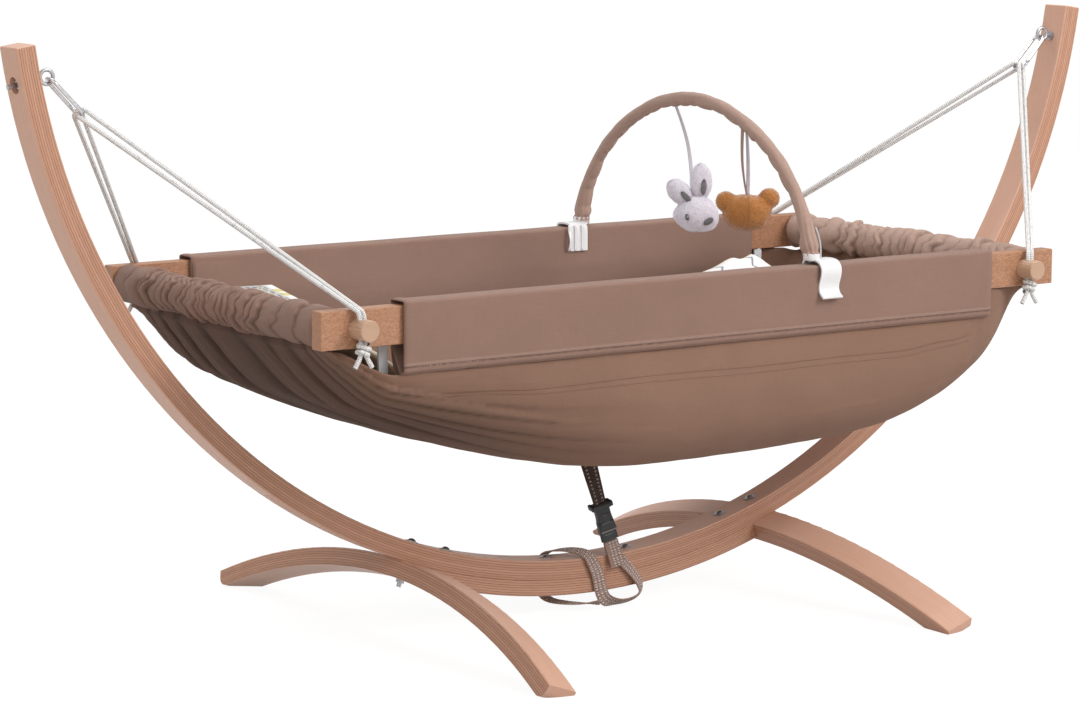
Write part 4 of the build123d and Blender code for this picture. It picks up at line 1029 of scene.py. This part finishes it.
# Mattress: a quilted pad in printed cotton, white with a grey zigzag and pale yellow.
# It follows the sling's belly and stands up at both ends.
pad_places = ((-0.935, 0.434, 0.1), (-0.885, 0.392, 0.2), (-0.8, 0.343, 0.4), (-0.665, 0.302, 0.65),
              (-0.47, 0.253, 0.85), (-0.25, 0.218, 1.0), (0.0, 0.199, 1.0), (0.25, 0.1995, 1.0),
              (0.47, 0.212, 1.0), (0.64, 0.234, 0.95), (0.755, 0.268, 0.85), (0.82, 0.310, 0.6),
              (0.862, 0.356, 0.35), (0.88, 0.396, 0.2))
pad_half = 0.185
pad_side = 0.018
pad_thickness = 0.034
pad_dish = 0.032
pad_step = 0.007
pad_spokes = 120
quilt_size = 0.062
pulled_corner = ((0.08, 0.0), (0.14, 0.020), (0.20, 0.050), (0.248, 0.083), (0.307, 0.1055), (0.337, 0.110),
                 (0.385, 0.1050), (0.398, 0.101), (0.432, 0.076), (0.440, 0.060), (0.454, 0.018),
                 (0.5, -0.026))
print_white = (0.82, 0.81, 0.82)
zigzag_grey = (0.24, 0.24, 0.28)
mark_grey = (0.23, 0.25, 0.28)
mark_gold = (0.66, 0.56, 0.20)
edging_colour = (0.80, 0.66, 0.34)
printed = Finish("printed_cotton", roughness=0.85, sheen=0.2)
u, v = printed.parts(printed.cloth_place)[:2]
wave = abs((v / 0.036).fraction() - 0.5) * 0.034
chevron = abs(((u + wave) / 0.064).fraction() - 0.5).step(0.042, 0.022)
mark_u = (u / 0.024 + (v / 0.034).whole() * 0.5).fraction() - 0.5
mark_v = (v / 0.017).fraction() - 0.5
printed_mark = (mark_u * mark_u * 2.2 + mark_v * mark_v).root().step(0.40, 0.32)
gold = (u / 0.048).fraction().step(0.49, 0.51)
by_head = u.step(0.30, 0.20)
mark_colour = printed.mix(gold, mark_grey, mark_gold)
print_colour = printed.mix(printed_mark * by_head, print_white, mark_colour)
print_colour = printed.mix(chevron * (by_head * -1 + 1), print_colour, zigzag_grey)
edging = abs(v - pad_half).step(pad_half * 0.93, pad_half * 0.965)
printed.put("Base Color", printed.mix(edging * 0.55, print_colour, edging_colour))
printed.relief(printed.cloud(printed.point(u * 900, v * 900, 0.0), 1.0, 2.0), 0.0003)
pad_line = [Vector((place * bar_x, 0, height)) for place, height, dish in pad_places]
pad_spine = even_line(smooth_line("pad_line", pad_line, 16), pad_step)


def pad_lift(x, y):
    """The corner that its tape pulls up, and the drop of both ends."""
    pulled = clamp((y - 0.015) / 0.165)
    corner = 0.0
    for (first_x, first), (second_x, second) in zip(pulled_corner, pulled_corner[1:]):
        if first_x <= x <= second_x:
            corner = first + (second - first) * (x - first_x) / (second_x - first_x)
    beside = min(abs(y) / 0.10, 1)
    left_drop = 0.017 * clamp((-x - 0.44) / 0.04) * beside * beside
    right_drop = 0.034 * clamp((x - 0.432) / 0.024)
    return corner * eased(pulled) - left_drop - right_drop


rows = []
for index, point in enumerate(pad_spine):
    ahead = pad_spine[min(index + 1, len(pad_spine) - 1)] - pad_spine[max(index - 1, 0)]
    ahead = ahead.normalized()
    upward = Vector((-ahead.z, 0, ahead.x))
    place = point.x / bar_x
    dish = pad_dish * pad_places[-1][2]
    for first, second in zip(pad_places, pad_places[1:]):
        if first[0] <= place <= second[0]:
            share = (place - first[0]) / (second[0] - first[0])
            dish = pad_dish * (first[2] + (second[2] - first[2]) * share)
    from_end = min(index, len(pad_spine) - 1 - index) * pad_step
    shrink = math.sqrt(max(1 - (1 - min(from_end / 0.016, 1)) ** 2, 0.0))
    rows.append([])
    for spoke in range(pad_spokes):
        turn = 2 * math.pi * spoke / pad_spokes
        across = math.copysign(abs(math.cos(turn)) ** 0.28, math.cos(turn))
        lift = math.copysign(abs(math.sin(turn)) ** 0.75, math.sin(turn))
        base = dish * across * across
        top = base + pad_side + (pad_thickness - pad_side) * (1 - across * across)
        middle = (base + top) / 2
        puff = 0.0
        if lift > 0:
            one = math.sin(math.pi * (index * pad_step + across * pad_half) / quilt_size)
            two = math.sin(math.pi * (index * pad_step - across * pad_half) / quilt_size)
            puff = 0.0035 * (abs(one * two) ** 0.5 - 0.5) * (1 - across**6) * min(from_end / 0.03, 1)
        height = middle + (top - base) / 2 * lift * (0.25 + 0.75 * shrink) + puff
        aside = across * (pad_half - 0.004 + 0.004 * shrink)
        rows[-1].append(point + Vector((0, aside, pad_lift(point.x, aside))) + upward * height)
pad_ends = []
for row in (rows[0], rows[-1]):
    centre = sum(row, Vector()) / len(row)
    pad_ends.append([[point.lerp(centre, share) for point in row] for share in (0.5, 0.97)])
rows = pad_ends[0][::-1] + rows + pad_ends[1]
pad = lay_cloth("quilted_mattress", rows, printed, around=True)
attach(pad, "cradle")
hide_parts("mattress")

# Corner tapes: loops of white satin tape, sewn to two corners to tie the mattress down.
# The front left one hangs long; the back right one is short and pulls its corner up.
tape_top = 0.4038
tape_half = 0.006
tape_rib = 0.0011
satin = Finish("white_tape", roughness=0.35, sheen=0.3)
rib = (satin.parts(satin.cloth_place)[0] * (2 * math.pi / tape_rib)).sine()
satin.put("Base Color", satin.mix(rib.step(-0.6, 0.8), (0.66, 0.66, 0.68), (0.90, 0.90, 0.90)))
satin.relief(rib, 0.0002)
for side, end, drop, tape_name in ((-1, -1, 0.035, "front_left"), (1, 1, 0.014, "back_right")):
    low = 0.4015 - drop
    loop = ((0.454, 0.2303, tape_top), (0.4545, 0.2308, tape_top - drop * 0.6), (0.4535, 0.2312, low),
            (0.4525, 0.2272, low), (0.4535, 0.2268, tape_top - drop * 0.5), (0.454, 0.2282, tape_top))
    steer = [Vector((side * x, end * y, z)) for x, y, z in loop]
    line = even_line(smooth_line("tape_line", steer, 10), 0.001)
    rows = [[point + Vector((across * tape_half, 0, 0.0012 * math.sin(across * 2 + index * 0.12)))
             for across in (-1, -0.96, -0.5, 0, 0.5, 0.96, 1)] for index, point in enumerate(line)]
    tape = lay_cloth(f"{tape_name}_tape", rows, satin)
    change(tape, "SOLIDIFY", thickness=0.0008, offset=0.0)
    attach(tape, "cradle")
    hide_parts("corner_tapes")
    2 * drop + 0.006

# Toy arch: a bent rod in a gathered tube of the sling's canvas.  The tube's spare length
# is pushed together, so it ruffles along the inner curve and bunches above each clip.
arch_x = 0.162
arch_radius = 0.0075
arch_points = ((-0.23965, 0.4638), (-0.218, 0.566), (0, 0.665), (0.218, 0.566), (0.23965, 0.4638))
arch_steer = [Vector((arch_x, across, height)) for across, height in arch_points]
arch_line = even_line(smooth_line("arch_line", arch_steer, 40), 0.0016)
arch_length = run_along(arch_line)[-1]
tie_points = ((0.0135, 0.2415, 0.4555), (0.0145, 0.2405, 0.472), (0.0135, 0.2375, 0.487),
              (0.0105, 0.2345, 0.497))
ruffle_draw = random.Random(5)
ruffles = [0.0]
while ruffles[-1] < arch_length:
    ruffles.append(ruffles[-1] + ruffle_draw.uniform(0.014, 0.034))
ruffle_heights = [ruffle_draw.uniform(0.2, 1.0) for ruffle in ruffles]


def cover_radius(place, turn):
    """The tube's reach: flutes by its ends and ruffles on its inner side."""
    from_end = min(place, arch_length - place)
    cuff = 0.0032 * max(1 - from_end / 0.075, 0) ** 1.2
    pinch = -0.0022 * math.exp(-((from_end - 0.0045) / 0.004) ** 2)
    flutes = 0.0011 * math.exp(-from_end / 0.030) * math.sin(9 * turn + 2.5 * math.sin(place * 60))
    number = max(index for index, ruffle in enumerate(ruffles) if ruffle <= place)
    after = ruffles[min(number + 1, len(ruffles) - 1)]
    between = (place - ruffles[number]) / max(after - ruffles[number], 1e-4)
    inner = max(math.cos(turn - math.pi / 2), 0) ** 1.5
    ruffle = 0.0038 * inner * ruffle_heights[number] * (4 * between * max(1 - between, 0)) ** 0.6
    slack = 0.0007 * noise.noise(Vector((place * 55, math.cos(turn), math.sin(turn))))
    return arch_radius + cuff + pinch + flutes + ruffle + slack


def tie_radius(place, turn):
    """The twisted cord that ties each end of the cover."""
    return 0.0011 + 0.0004 * math.sin(2 * turn + place * 2200)


rod_plastic = Finish("rod_plastic", roughness=0.35)
rod_grain = rod_plastic.cloud(rod_plastic.place, 220.0)
rod_plastic.put("Base Color", rod_plastic.mix(rod_grain, (0.80, 0.79, 0.77), (0.66, 0.65, 0.64)))
rod_plastic.dress("arch_rod")
# The tube's canvas is a lighter copy of the sling's taupe: painted light.
arch_canvas = Finish("arch_canvas", roughness=0.9, sheen=0.15)
weave(arch_canvas, (0.520, 0.340, 0.272), (0.390, 0.248, 0.194))
cover = lay_cloth("arch_cover_canvas", tube_rows(arch_line, (1, 0, 0), 48, cover_radius), arch_canvas,
                  around=True)
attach(cover, "toy_arch")
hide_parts("arch_cover")
for end, end_name in ((-1, "front"), (1, "back")):
    steer = [Vector((arch_x + aside, end * across, height)) for aside, across, height in tie_points]
    line = even_line(smooth_line("tie_line", steer, 12), 0.0007)
    tie = lay_cloth(f"{end_name}_cover_tie", tube_rows(line, (0, 1, 0), 8, tie_radius), satin, around=True)
    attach(tie, "toy_arch")

# Arch clips: white moulded plates that grip each sleeved rail, glossy, with a boss for
# the rod and a lip that flares out below.
gloss = Finish("white_moulding", roughness=0.25, coat=0.4)
scuff = gloss.cloud(gloss.place, 160.0, 3.0)
gloss.put("Base Color", gloss.mix(scuff, (0.86, 0.85, 0.85), (0.76, 0.75, 0.76)))
gloss.put("Roughness", 0.18 + scuff * 0.22)
gloss.relief(scuff, 0.0001)
front_hook = ((0.2238, 0.4060), (0.2240, 0.4300), (0.2248, 0.4520), (0.2280, 0.4574), (0.2370, 0.4585),
              (0.2470, 0.4586), (0.2560, 0.4568), (0.2612, 0.4510), (0.2622, 0.4440), (0.2600, 0.4365),
              (0.2576, 0.4300), (0.2570, 0.4240), (0.2590, 0.4190), (0.2625, 0.4155), (0.2660, 0.4135))
back_hook = ((0.2246, 0.4225), (0.2246, 0.4320), (0.2248, 0.4520), (0.2276, 0.4576), (0.2370, 0.4585),
             (0.2470, 0.4585), (0.2550, 0.4570), (0.2570, 0.4500), (0.2572, 0.4350), (0.2572, 0.4154))
boss_place = (0.162, 0.2405, 0.4622)
clip_edges = (-1, -0.98, -0.9, -0.45, 0, 0.45, 0.9, 0.98, 1)
clip_ribs = ((-0.0165, 0.0022), (-0.0070, 0.0012), (0.0040, 0.0012))
rib_foot = 0.4235
rib_height = 0.0345
rib_face = 0.2230
for end, clip_name, middle, half, hook in ((-1, "front", 0.176, 0.0155, front_hook),
                                           (1, "back", 0.148, 0.0135, back_hook)):
    profile = smooth_line("clip_line", [Vector((0, across, height)) for across, height in hook], 10)
    rows = [[Vector((middle + half * edge, end * point.y, point.z)) for edge in clip_edges]
            for point in profile]
    plate = lay_cloth(f"{clip_name}_clip_plate", rows, gloss)
    change(plate, "SOLIDIFY", thickness=0.0026, offset=0.0)
    change(plate, "BEVEL", width=0.0007, segments=2)
    plate.data.shade_smooth()
    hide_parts("arch_clips")
    bpy.ops.mesh.primitive_cylinder_add(vertices=48, radius=0.0102, depth=0.0085)
    boss = bpy.context.object
    boss.name = f"{clip_name}_clip_boss"
    change(boss, "BEVEL", width=0.0012, segments=3)
    boss.data.transform(Matrix.Translation((boss_place[0], end * boss_place[1], boss_place[2])))
    boss.data.materials.append(gloss.material)
    boss.data.shade_smooth()
    clip_parts = [plate, boss]
    for number, (shift, wide) in enumerate(clip_ribs if end > 0 else ()):
        rows = []
        for step in range(13):
            height = rib_foot + rib_height * step / 12
            hollow = 0.0035 * math.sin(math.pi * min(step / 9, 1)) if number == 0 else 0.0
            rows.append([])
            for edge in (-1, -0.7, 0, 0.7, 1):
                proud = rib_face - hollow - 0.0006 * (1 - edge * edge)
                rows[-1].append(Vector((middle + shift + wide * edge, proud, height)))
        rib = lay_cloth(f"back_clip_rib_{number}", rows, gloss)
        change(rib, "SOLIDIFY", thickness=0.0016, offset=0.0)
        clip_parts.append(rib)
    for part in clip_parts:
        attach(part, "toy_arch")

# Toys: plush rabbit and bear heads, stuffed and sewn from two halves, with short pile.
# They hang from the arch on narrow ribbons and look sideways to the camera's left.
toy_across = Vector((0.835, -0.5505, 0))
toy_facing = Vector((-0.5505, -0.835, 0))


def plush_finish(name, light, dark, middle=None):
    """Short pile: small tufts of two tones; middle is where a sewn seam parts it, and the pile is painted
    darker along it as shade in its groove.
    """
    plush = Finish(name, roughness=0.95, sheen=0.7)
    tufts = plush.cloud(plush.place, 420.0, 3.0, 0.7)
    patches = plush.cloud(plush.place, 60.0, 3.0)
    colour = plush.mix(tufts.step(0.3, 0.7) * 0.6 + patches * 0.4, dark, light)
    if middle:
        x, y, z = plush.parts(plush.place)
        off_seam = abs((x - middle.x) * toy_across.x + (y - middle.y) * toy_across.y)
        # Painted shade along the seam's groove.
        colour = plush.mix(off_seam.step(0.0018, 0.0002) * 0.35, colour, dark)
        plush.relief(tufts - off_seam.step(0.002, 0.0) * 0.5, 0.0012)
    else:
        plush.relief(tufts, 0.0012)
    plush.put("Base Color", colour)
    return plush


def plush_part(name, centre, sizes, lean, finish, seed, square=1.0, pile=0.0016, shape=None):
    """One stuffed part: its half sizes across, up and deep, leaned in the toy's plane."""
    bpy.ops.mesh.primitive_uv_sphere_add(segments=72, ring_count=48, radius=1)
    part = bpy.context.object
    part.name = name
    turn = math.radians(lean)
    across = toy_across * math.cos(turn) + Vector((0, 0, 1)) * math.sin(turn)
    upward = toy_across * -math.sin(turn) + Vector((0, 0, 1)) * math.cos(turn)
    for vertex in part.data.vertices:
        x, y, z = vertex.co
        if shape:
            x, z = shape(x, z)
        place = Vector((math.copysign(abs(x) ** square, x), y, math.copysign(abs(z) ** square, z)))
        soft = 1 + 0.05 * noise.noise(place * 2.2 + Vector((seed, 0, 0)))
        soft += 0.022 * noise.noise(place * 9 + Vector((0, seed, 0)))
        vertex.co = (centre + across * place.x * sizes[0] * soft + upward * place.z * sizes[1] * soft
                     + toy_facing * -place.y * sizes[2] * soft)
    part.data.materials.append(finish.material)
    part.data.shade_smooth()
    if pile:
        add_pile(part, finish, seed, pile, 2600)
    return part


def add_pile(part, finish, seed, pile, count):
    """Short loose hairs over a plush part."""
    draw = random.Random(seed)
    hairs = []
    faces = []
    for number in range(count):
        face = part.data.polygons[draw.randrange(len(part.data.polygons))]
        root = face.center
        way = (face.normal + Vector((draw.uniform(-0.6, 0.6), draw.uniform(-0.6, 0.6),
                                     draw.uniform(-0.9, 0.3)))).normalized()
        beside = way.cross(Vector((draw.uniform(-1, 1), draw.uniform(-1, 1), 0.3))).normalized() * 0.00018
        tip = root + way * pile * draw.uniform(0.6, 1.2)
        first = len(hairs)
        hairs += [root - beside, root + beside, tip]
        faces.append((first, first + 1, first + 2))
    mesh = bpy.data.meshes.new(part.name + "_pile")
    mesh.from_pydata([tuple(point) for point in hairs], [], faces)
    mesh.materials.append(finish.material)
    fur = bpy.data.objects.new(part.name + "_pile", mesh)
    bpy.context.scene.collection.objects.link(fur)
    fur.parent = part


def on_toy(centre, across, upward, facing):
    """A point of a toy, from its middle."""
    return centre + toy_across * across + Vector((0, 0, upward)) + toy_facing * facing


white_pile = plush_finish("white_plush", (0.90, 0.86, 0.92), (0.66, 0.61, 0.70))
grey_pile = plush_finish("grey_felt", (0.33, 0.31, 0.32), (0.17, 0.16, 0.17))
bear = Vector((arch_x, -0.113, 0.5065))
ochre_pile = plush_finish("ochre_plush", (0.60, 0.25, 0.055), (0.36, 0.125, 0.02), bear)
rabbit = Vector((arch_x, -0.0106, 0.494))
head = plush_part("rabbit_head_plush", rabbit, (0.0285, 0.0235, 0.0185), -8, white_pile, 3,
                  shape=lambda x, z: (x * (1 - 0.18 * z), z * (1 + 0.05 * x)))
left_ear = plush_part("rabbit_left_ear_plush", on_toy(rabbit, -0.0225, 0.0275, 0.002),
                      (0.0135, 0.0182, 0.0085), 44, white_pile, 4)
right_ear = plush_part("rabbit_right_ear_plush", on_toy(rabbit, 0.0050, 0.0405, 0.001),
                       (0.0140, 0.0225, 0.0085), 2, white_pile, 5)
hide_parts("rabbit_head")
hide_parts("rabbit_left_ear")
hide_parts("rabbit_right_ear")
features = []
for name, spot, sizes, lean, finish, seed, pile in (
        ("eye_felt", (-0.0130, -0.0032, 0.0164), (0.0025, 0.0036, 0.0016), 8, grey_pile, 6, 0.0006),
        ("eye_glint", (-0.0127, -0.0028, 0.0176), (0.0011, 0.0017, 0.0010), 8, white_pile, 10, 0.0004),
        ("nose_felt", (0.0135, -0.0085, 0.0148), (0.0070, 0.0038, 0.0028), 24, grey_pile, 7, 0.0009),
        ("left_patch", (-0.0140, 0.0215, 0.0096), (0.0034, 0.0100, 0.0020), 44, grey_pile, 8, 0.0009),
        ("right_patch", (0.0080, 0.0345, 0.0090), (0.0034, 0.0094, 0.0022), -3, grey_pile, 9, 0.0009)):
    place = on_toy(rabbit, *spot)
    features.append(plush_part(f"rabbit_{name}", place, sizes, lean, finish, seed, pile=pile))
for part in [head, left_ear, right_ear] + features:
    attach(part, "rabbit")

head = plush_part("bear_plush", on_toy(bear, 0.0, -0.0005, 0.0), (0.0305, 0.0240, 0.0185), -3,
                  ochre_pile, 13, square=0.86, pile=0,
                  shape=lambda x, z: (x * (1 + 0.06 * z), z * (0.86 if z > 0 else 1.0)))
for number, (across, upward, radius) in enumerate(((-0.0265, 0.0120, 0.0128), (0.0275, 0.0158, 0.0132))):
    ear = plush_part(f"bear_ear_{number}", on_toy(bear, across, upward, 0.0), (radius, radius, 0.0105), 0,
                     ochre_pile, 14 + number, pile=0)
    ear.select_set(True)
    head.select_set(True)
    bpy.context.view_layer.objects.active = head
    bpy.ops.object.join()
change(head, "REMESH", mode="VOXEL", voxel_size=0.0011)
change(head, "SMOOTH", factor=0.5, iterations=34)
head.data.shade_smooth()
add_pile(head, ochre_pile, 13, 0.0016, 7000)
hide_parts("bear_head", "bear_left_ear", "bear_right_ear")
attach(head, "bear")

# Ribbons: narrow satin, sewn into each toy's seam.  They hang from the underside of the
# arch's tube, one for the rabbit and two for the bear, and turn a little on their way.
ribbon_rib = 0.0012
ribbon_half = 0.0024
rabbit_knot = Vector((arch_x, 0.03893, 0.63781))
rabbit_drop = Vector((0, 0.159, 0.987)) * -0.0062
bear_knot = Vector((arch_x, -0.10826, 0.61583))
bear_drop = Vector((0, -0.4135, 0.9105)) * -0.0062


def ribbon_satin(name, dark, light):
    """Satin with fine ribs across its length."""
    ribbon = Finish(name, roughness=0.4, sheen=0.2)
    rib = (ribbon.parts(ribbon.cloth_place)[0] * (2 * math.pi / ribbon_rib)).sine()
    ribbon.put("Base Color", ribbon.mix(rib.step(-0.7, 0.7), dark, light))
    ribbon.relief(rib, 0.00015)
    return ribbon


rose_satin = ribbon_satin("rose_ribbon", (0.30, 0.17, 0.14), (0.46, 0.30, 0.26))
pale_satin = ribbon_satin("pale_ribbon", (0.55, 0.50, 0.55), (0.78, 0.74, 0.80))
for name, toy, start, bows, target, turns, finish in (
        ("rabbit_ribbon", "rabbit", rabbit_knot + rabbit_drop, (0.0075, 0.0060),
         on_toy(rabbit, -0.0045, 0.0200, -0.0085), (0.9, -0.2), pale_satin),
        ("bear_ribbon_left", "bear", bear_knot + bear_drop - toy_across * 0.0022, (-0.0030, -0.0032),
         on_toy(bear, -0.0002, 0.0175, 0.0006), (0.7, 1.3), rose_satin),
        ("bear_ribbon_right", "bear", bear_knot + bear_drop + toy_across * 0.0026, (0.0012, 0.0014),
         on_toy(bear, 0.0008, 0.0175, -0.0006), (1.0, 0.1), pale_satin)):
    bowed = [start.lerp(target, share) + toy_across * bow for share, bow in zip((0.3, 0.7), bows)]
    line = even_line(smooth_line("ribbon_line", [start] + bowed + [target], 16), 0.0016)
    rows = []
    for index, point in enumerate(line):
        share = index / (len(line) - 1)
        turn = turns[0] + (turns[1] - turns[0]) * share
        wide = toy_across * math.cos(turn) + toy_facing * math.sin(turn)
        rows.append([point + wide * edge * ribbon_half for edge in (-1, -0.5, 0, 0.5, 1)])
    strand = lay_cloth(name + "_strand", rows, finish)
    change(strand, "SOLIDIFY", thickness=0.0005, offset=0.0)
    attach(strand, toy)
    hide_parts(f"{toy}_ribbon")
    run = sum((second - first).length for first, second in zip(line, line[1:]))

# Swing lock: brown webbing sewn under the belly, a side release buckle, and a doubled
# length of lighter webbing whose spare end is looped round the beams.
webbing_rib = 0.0021
belly = Vector((0, 0, 0.1949))
strap_start = Vector((0, 0, 0.1947))
strap_end = Vector((0.030, -0.027, 0.055))
socket_place = 0.0655
upper_twist = math.radians(34)
upper_turn = math.radians(12)


def webbing_finish(name, light, dark, dot_colour, dot_rows, dot_share):
    """Ribbed webbing with rows of raised white stitches."""
    webbing = Finish(name, roughness=0.75, sheen=0.25)
    u, v = webbing.parts(webbing.cloth_place)[:2]
    rib = (u * (2 * math.pi / webbing_rib)).sine()
    grain = webbing.cloud(webbing.point(u * 1500, v * 1500, 0.0), 1.0, 2.0)
    colour = webbing.mix(rib.step(-0.7, 0.6), dark, light)
    ridge = rib
    for row in dot_rows:
        dots = abs((u / dot_share).fraction() - 0.5).step(0.36, 0.16) * abs(v - row).step(0.0019, 0.0008)
        colour = webbing.mix(dots, colour, dot_colour)
        ridge = ridge + dots * 2.0
    webbing.put("Base Color", webbing.mix(grain * 0.3, colour, dark))
    webbing.relief(ridge, 0.0006)
    return webbing


def strap_piece(name, line, normals, width, thickness, finish):
    """A flat length of webbing along a line, with its face turned by the normals."""
    rows = []
    for index, (point, normal) in enumerate(zip(line, normals)):
        ahead = (line[min(index + 1, len(line) - 1)] - line[max(index - 1, 0)]).normalized()
        face = (normal - ahead * normal.dot(ahead)).normalized()
        wide = ahead.cross(face)
        rows.append([point + wide * edge * width / 2 - face * abs(edge) ** 6 * 0.0003
                     for edge in (-1, -0.97, -0.8, -0.5, -0.25, 0, 0.25, 0.5, 0.8, 0.97, 1)])
    piece = lay_cloth(name, rows, finish)
    change(piece, "SOLIDIFY", thickness=thickness, offset=0.0)
    return piece


strap_line = (strap_end - strap_start).normalized()
strap_face = Vector((-strap_line.y * strap_line.x, -1, -strap_line.y * strap_line.z)).normalized()
brown_webbing = webbing_finish("brown_webbing", (0.090, 0.038, 0.022), (0.038, 0.016, 0.010),
                               (0.62, 0.50, 0.42), (0.0050, 0.0160), 0.0050)
line = even_line([belly, belly + strap_line * socket_place], 0.0015)
normals = []
for index in range(len(line)):
    share = index / (len(line) - 1)
    twist = upper_twist * (1 - share) ** 1.4 - upper_turn
    normals.append(Vector((-math.sin(twist), -math.cos(twist), 0)))
upper = strap_piece("upper_strap", line, normals, 0.0212, 0.0017, brown_webbing)
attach(upper, "strap_upper")
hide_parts("upper_webbing")

# Buckle: black side release buckle; the frame's solids carry it.  The scene adds its slot
# bar, knobs and panels, and a pale line where the two halves meet.
black_moulding = Finish("black_moulding", roughness=0.38, coat=0.15)
speck = black_moulding.cloud(black_moulding.place, 700.0, 3.0)
black_moulding.put("Base Color", black_moulding.mix(speck, (0.006, 0.006, 0.007), (0.022, 0.021, 0.021)))
black_moulding.put("Roughness", 0.3 + speck * 0.25)
black_moulding.relief(speck, 0.0001)
black_moulding.dress("buckle_socket", "buckle_plug")
strap_side = strap_line.cross(strap_face).normalized()
buckle_turn = Matrix((strap_side, strap_face, strap_line)).transposed().to_4x4()
knob_reach = 0.0138
worn_edge = Finish("worn_edge", roughness=0.6)
worn_edge.put("Base Color", worn_edge.mix(worn_edge.cloud(worn_edge.place, 500.0), (0.12, 0.11, 0.10),
                                          (0.42, 0.39, 0.37)))
for name, place, aside, sizes, body, finish in (
        ("buckle_slot_bar", 0.0655, 0, (0.0150, 0.0052, 0.0030), "strap_upper", black_moulding),
        ("buckle_left_knob", 0.0655, -knob_reach, (0.0026, 0.0058, 0.0036), "strap_upper", black_moulding),
        ("buckle_right_knob", 0.0655, knob_reach, (0.0026, 0.0058, 0.0036), "strap_upper", black_moulding),
        ("buckle_front_panel", 0.0840, 0, (0.0078, 0.0050, 0.0105), "strap_upper", black_moulding),
        ("buckle_lower_panel", 0.0905, 0, (0.0122, 0.0054, 0.0066), "strap_upper", black_moulding),
        ("buckle_seam_line", 0.0976, 0, (0.0118, 0.0052, 0.0007), "strap_upper", worn_edge),
        ("buckle_plug_panel", 0.1055, 0, (0.0095, 0.0036, 0.0052), "strap_lower", black_moulding)):
    bpy.ops.mesh.primitive_cube_add(size=2)
    panel = bpy.context.object
    panel.name = name
    for vertex in panel.data.vertices:
        vertex.co = Vector(tuple(value * size for value, size in zip(vertex.co, sizes)))
    change(panel, "BEVEL", width=min(sizes) * 0.7, segments=4)
    middle = strap_start + strap_line * place + strap_side * aside
    panel.data.transform(Matrix.Translation(middle) @ buckle_turn)
    panel.data.shade_smooth()
    panel.data.materials.append(finish.material)
    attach(panel, body)

# Lower webbing: two layers stitched together below the plug, with a turned cut end.  The
# front layer reaches further down than the one behind it.
light_webbing = webbing_finish("light_webbing", (0.60, 0.385, 0.305), (0.36, 0.21, 0.155),
                               (0.94, 0.88, 0.84), (0.0032, 0.0085, 0.0138), 0.0034)
for layer, (start, finish_place, lift) in enumerate(((0.1125, 0.1462, 0.0011), (0.1125, 0.1405, -0.0009))):
    line = even_line([strap_start + strap_line * start + strap_face * lift,
                      strap_start + strap_line * finish_place + strap_face * (lift + 0.0004)], 0.0014)
    normals = [strap_face] * len(line)
    lower = strap_piece(f"lower_strap_{layer}", line, normals, 0.0208, 0.0017, light_webbing)
    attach(lower, "strap_lower")
    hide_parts("lower_webbing")
    finish_place - start

# Hitch: the spare webbing comes down beside the sewn end, hangs in a slack bight before
# the beams, goes up their front face, over the top, down behind and back below them.
hitch_points = ((0.0405, -0.0222, 0.0610), (0.0470, -0.0224, 0.0545), (0.0590, -0.0230, 0.0420),
                (0.0690, -0.0255, 0.0260), (0.0640, -0.0285, 0.0125), (0.0450, -0.0290, 0.0078),
                (0.0260, -0.0285, 0.0080), (0.0110, -0.0268, 0.0120), (0.0050, -0.0252, 0.0270),
                (0.0020, -0.0246, 0.0450), (-0.0060, -0.0252, 0.0610), (-0.0130, -0.0205, 0.0745),
                (-0.0270, -0.0040, 0.0785), (-0.0400, 0.0130, 0.0760), (-0.0490, 0.0260, 0.0700),
                (-0.0510, 0.0285, 0.0450), (-0.0500, 0.0280, 0.0200), (-0.0440, 0.0180, 0.0100),
                (-0.0280, 0.0000, 0.0080), (-0.0120, -0.0170, 0.0085), (0.0040, -0.0262, 0.0100))
hitch_faces = ((0.25, -1, 0.1), (0.35, -1, 0.1), (0.45, -0.9, 0.2), (0.55, -0.85, 0.0), (0.30, -0.60, -0.8),
               (0.0, -0.50, -0.9), (-0.10, -0.55, -0.85), (-0.25, -0.95, -0.2), (-0.15, -1, 0.0),
               (-0.1, -1, 0.1), (-0.1, -0.9, 0.4), (-0.1, -0.5, 0.9), (-0.05, -0.1, 1), (-0.05, 0.2, 1),
               (-0.2, 0.8, 0.6), (-0.2, 1, 0), (-0.2, 0.9, -0.3), (-0.2, 0.4, -0.9), (0, 0, -1),
               (0, -0.2, -1), (0, -0.6, -0.8))
dense = smooth_line("hitch_line", [Vector(point) for point in hitch_points], 14)
dense_faces = smooth_line("hitch_faces", [Vector(way) for way in hitch_faces], 14)
line = even_line(dense, 0.0016)
normals = []
for index, point in enumerate(line):
    spot = min(range(len(dense)), key=lambda number: (dense[number] - point).length
               + abs(number / len(dense) - index / len(line)) * 0.2)
    normals.append(dense_faces[spot])
hitch = strap_piece("hitch_strap", line, normals, 0.0170, 0.0016, light_webbing)
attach(hitch, "stand")
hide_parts("strap_hitch")
hitch_run = sum((second - first).length for first, second in zip(line, line[1:]))
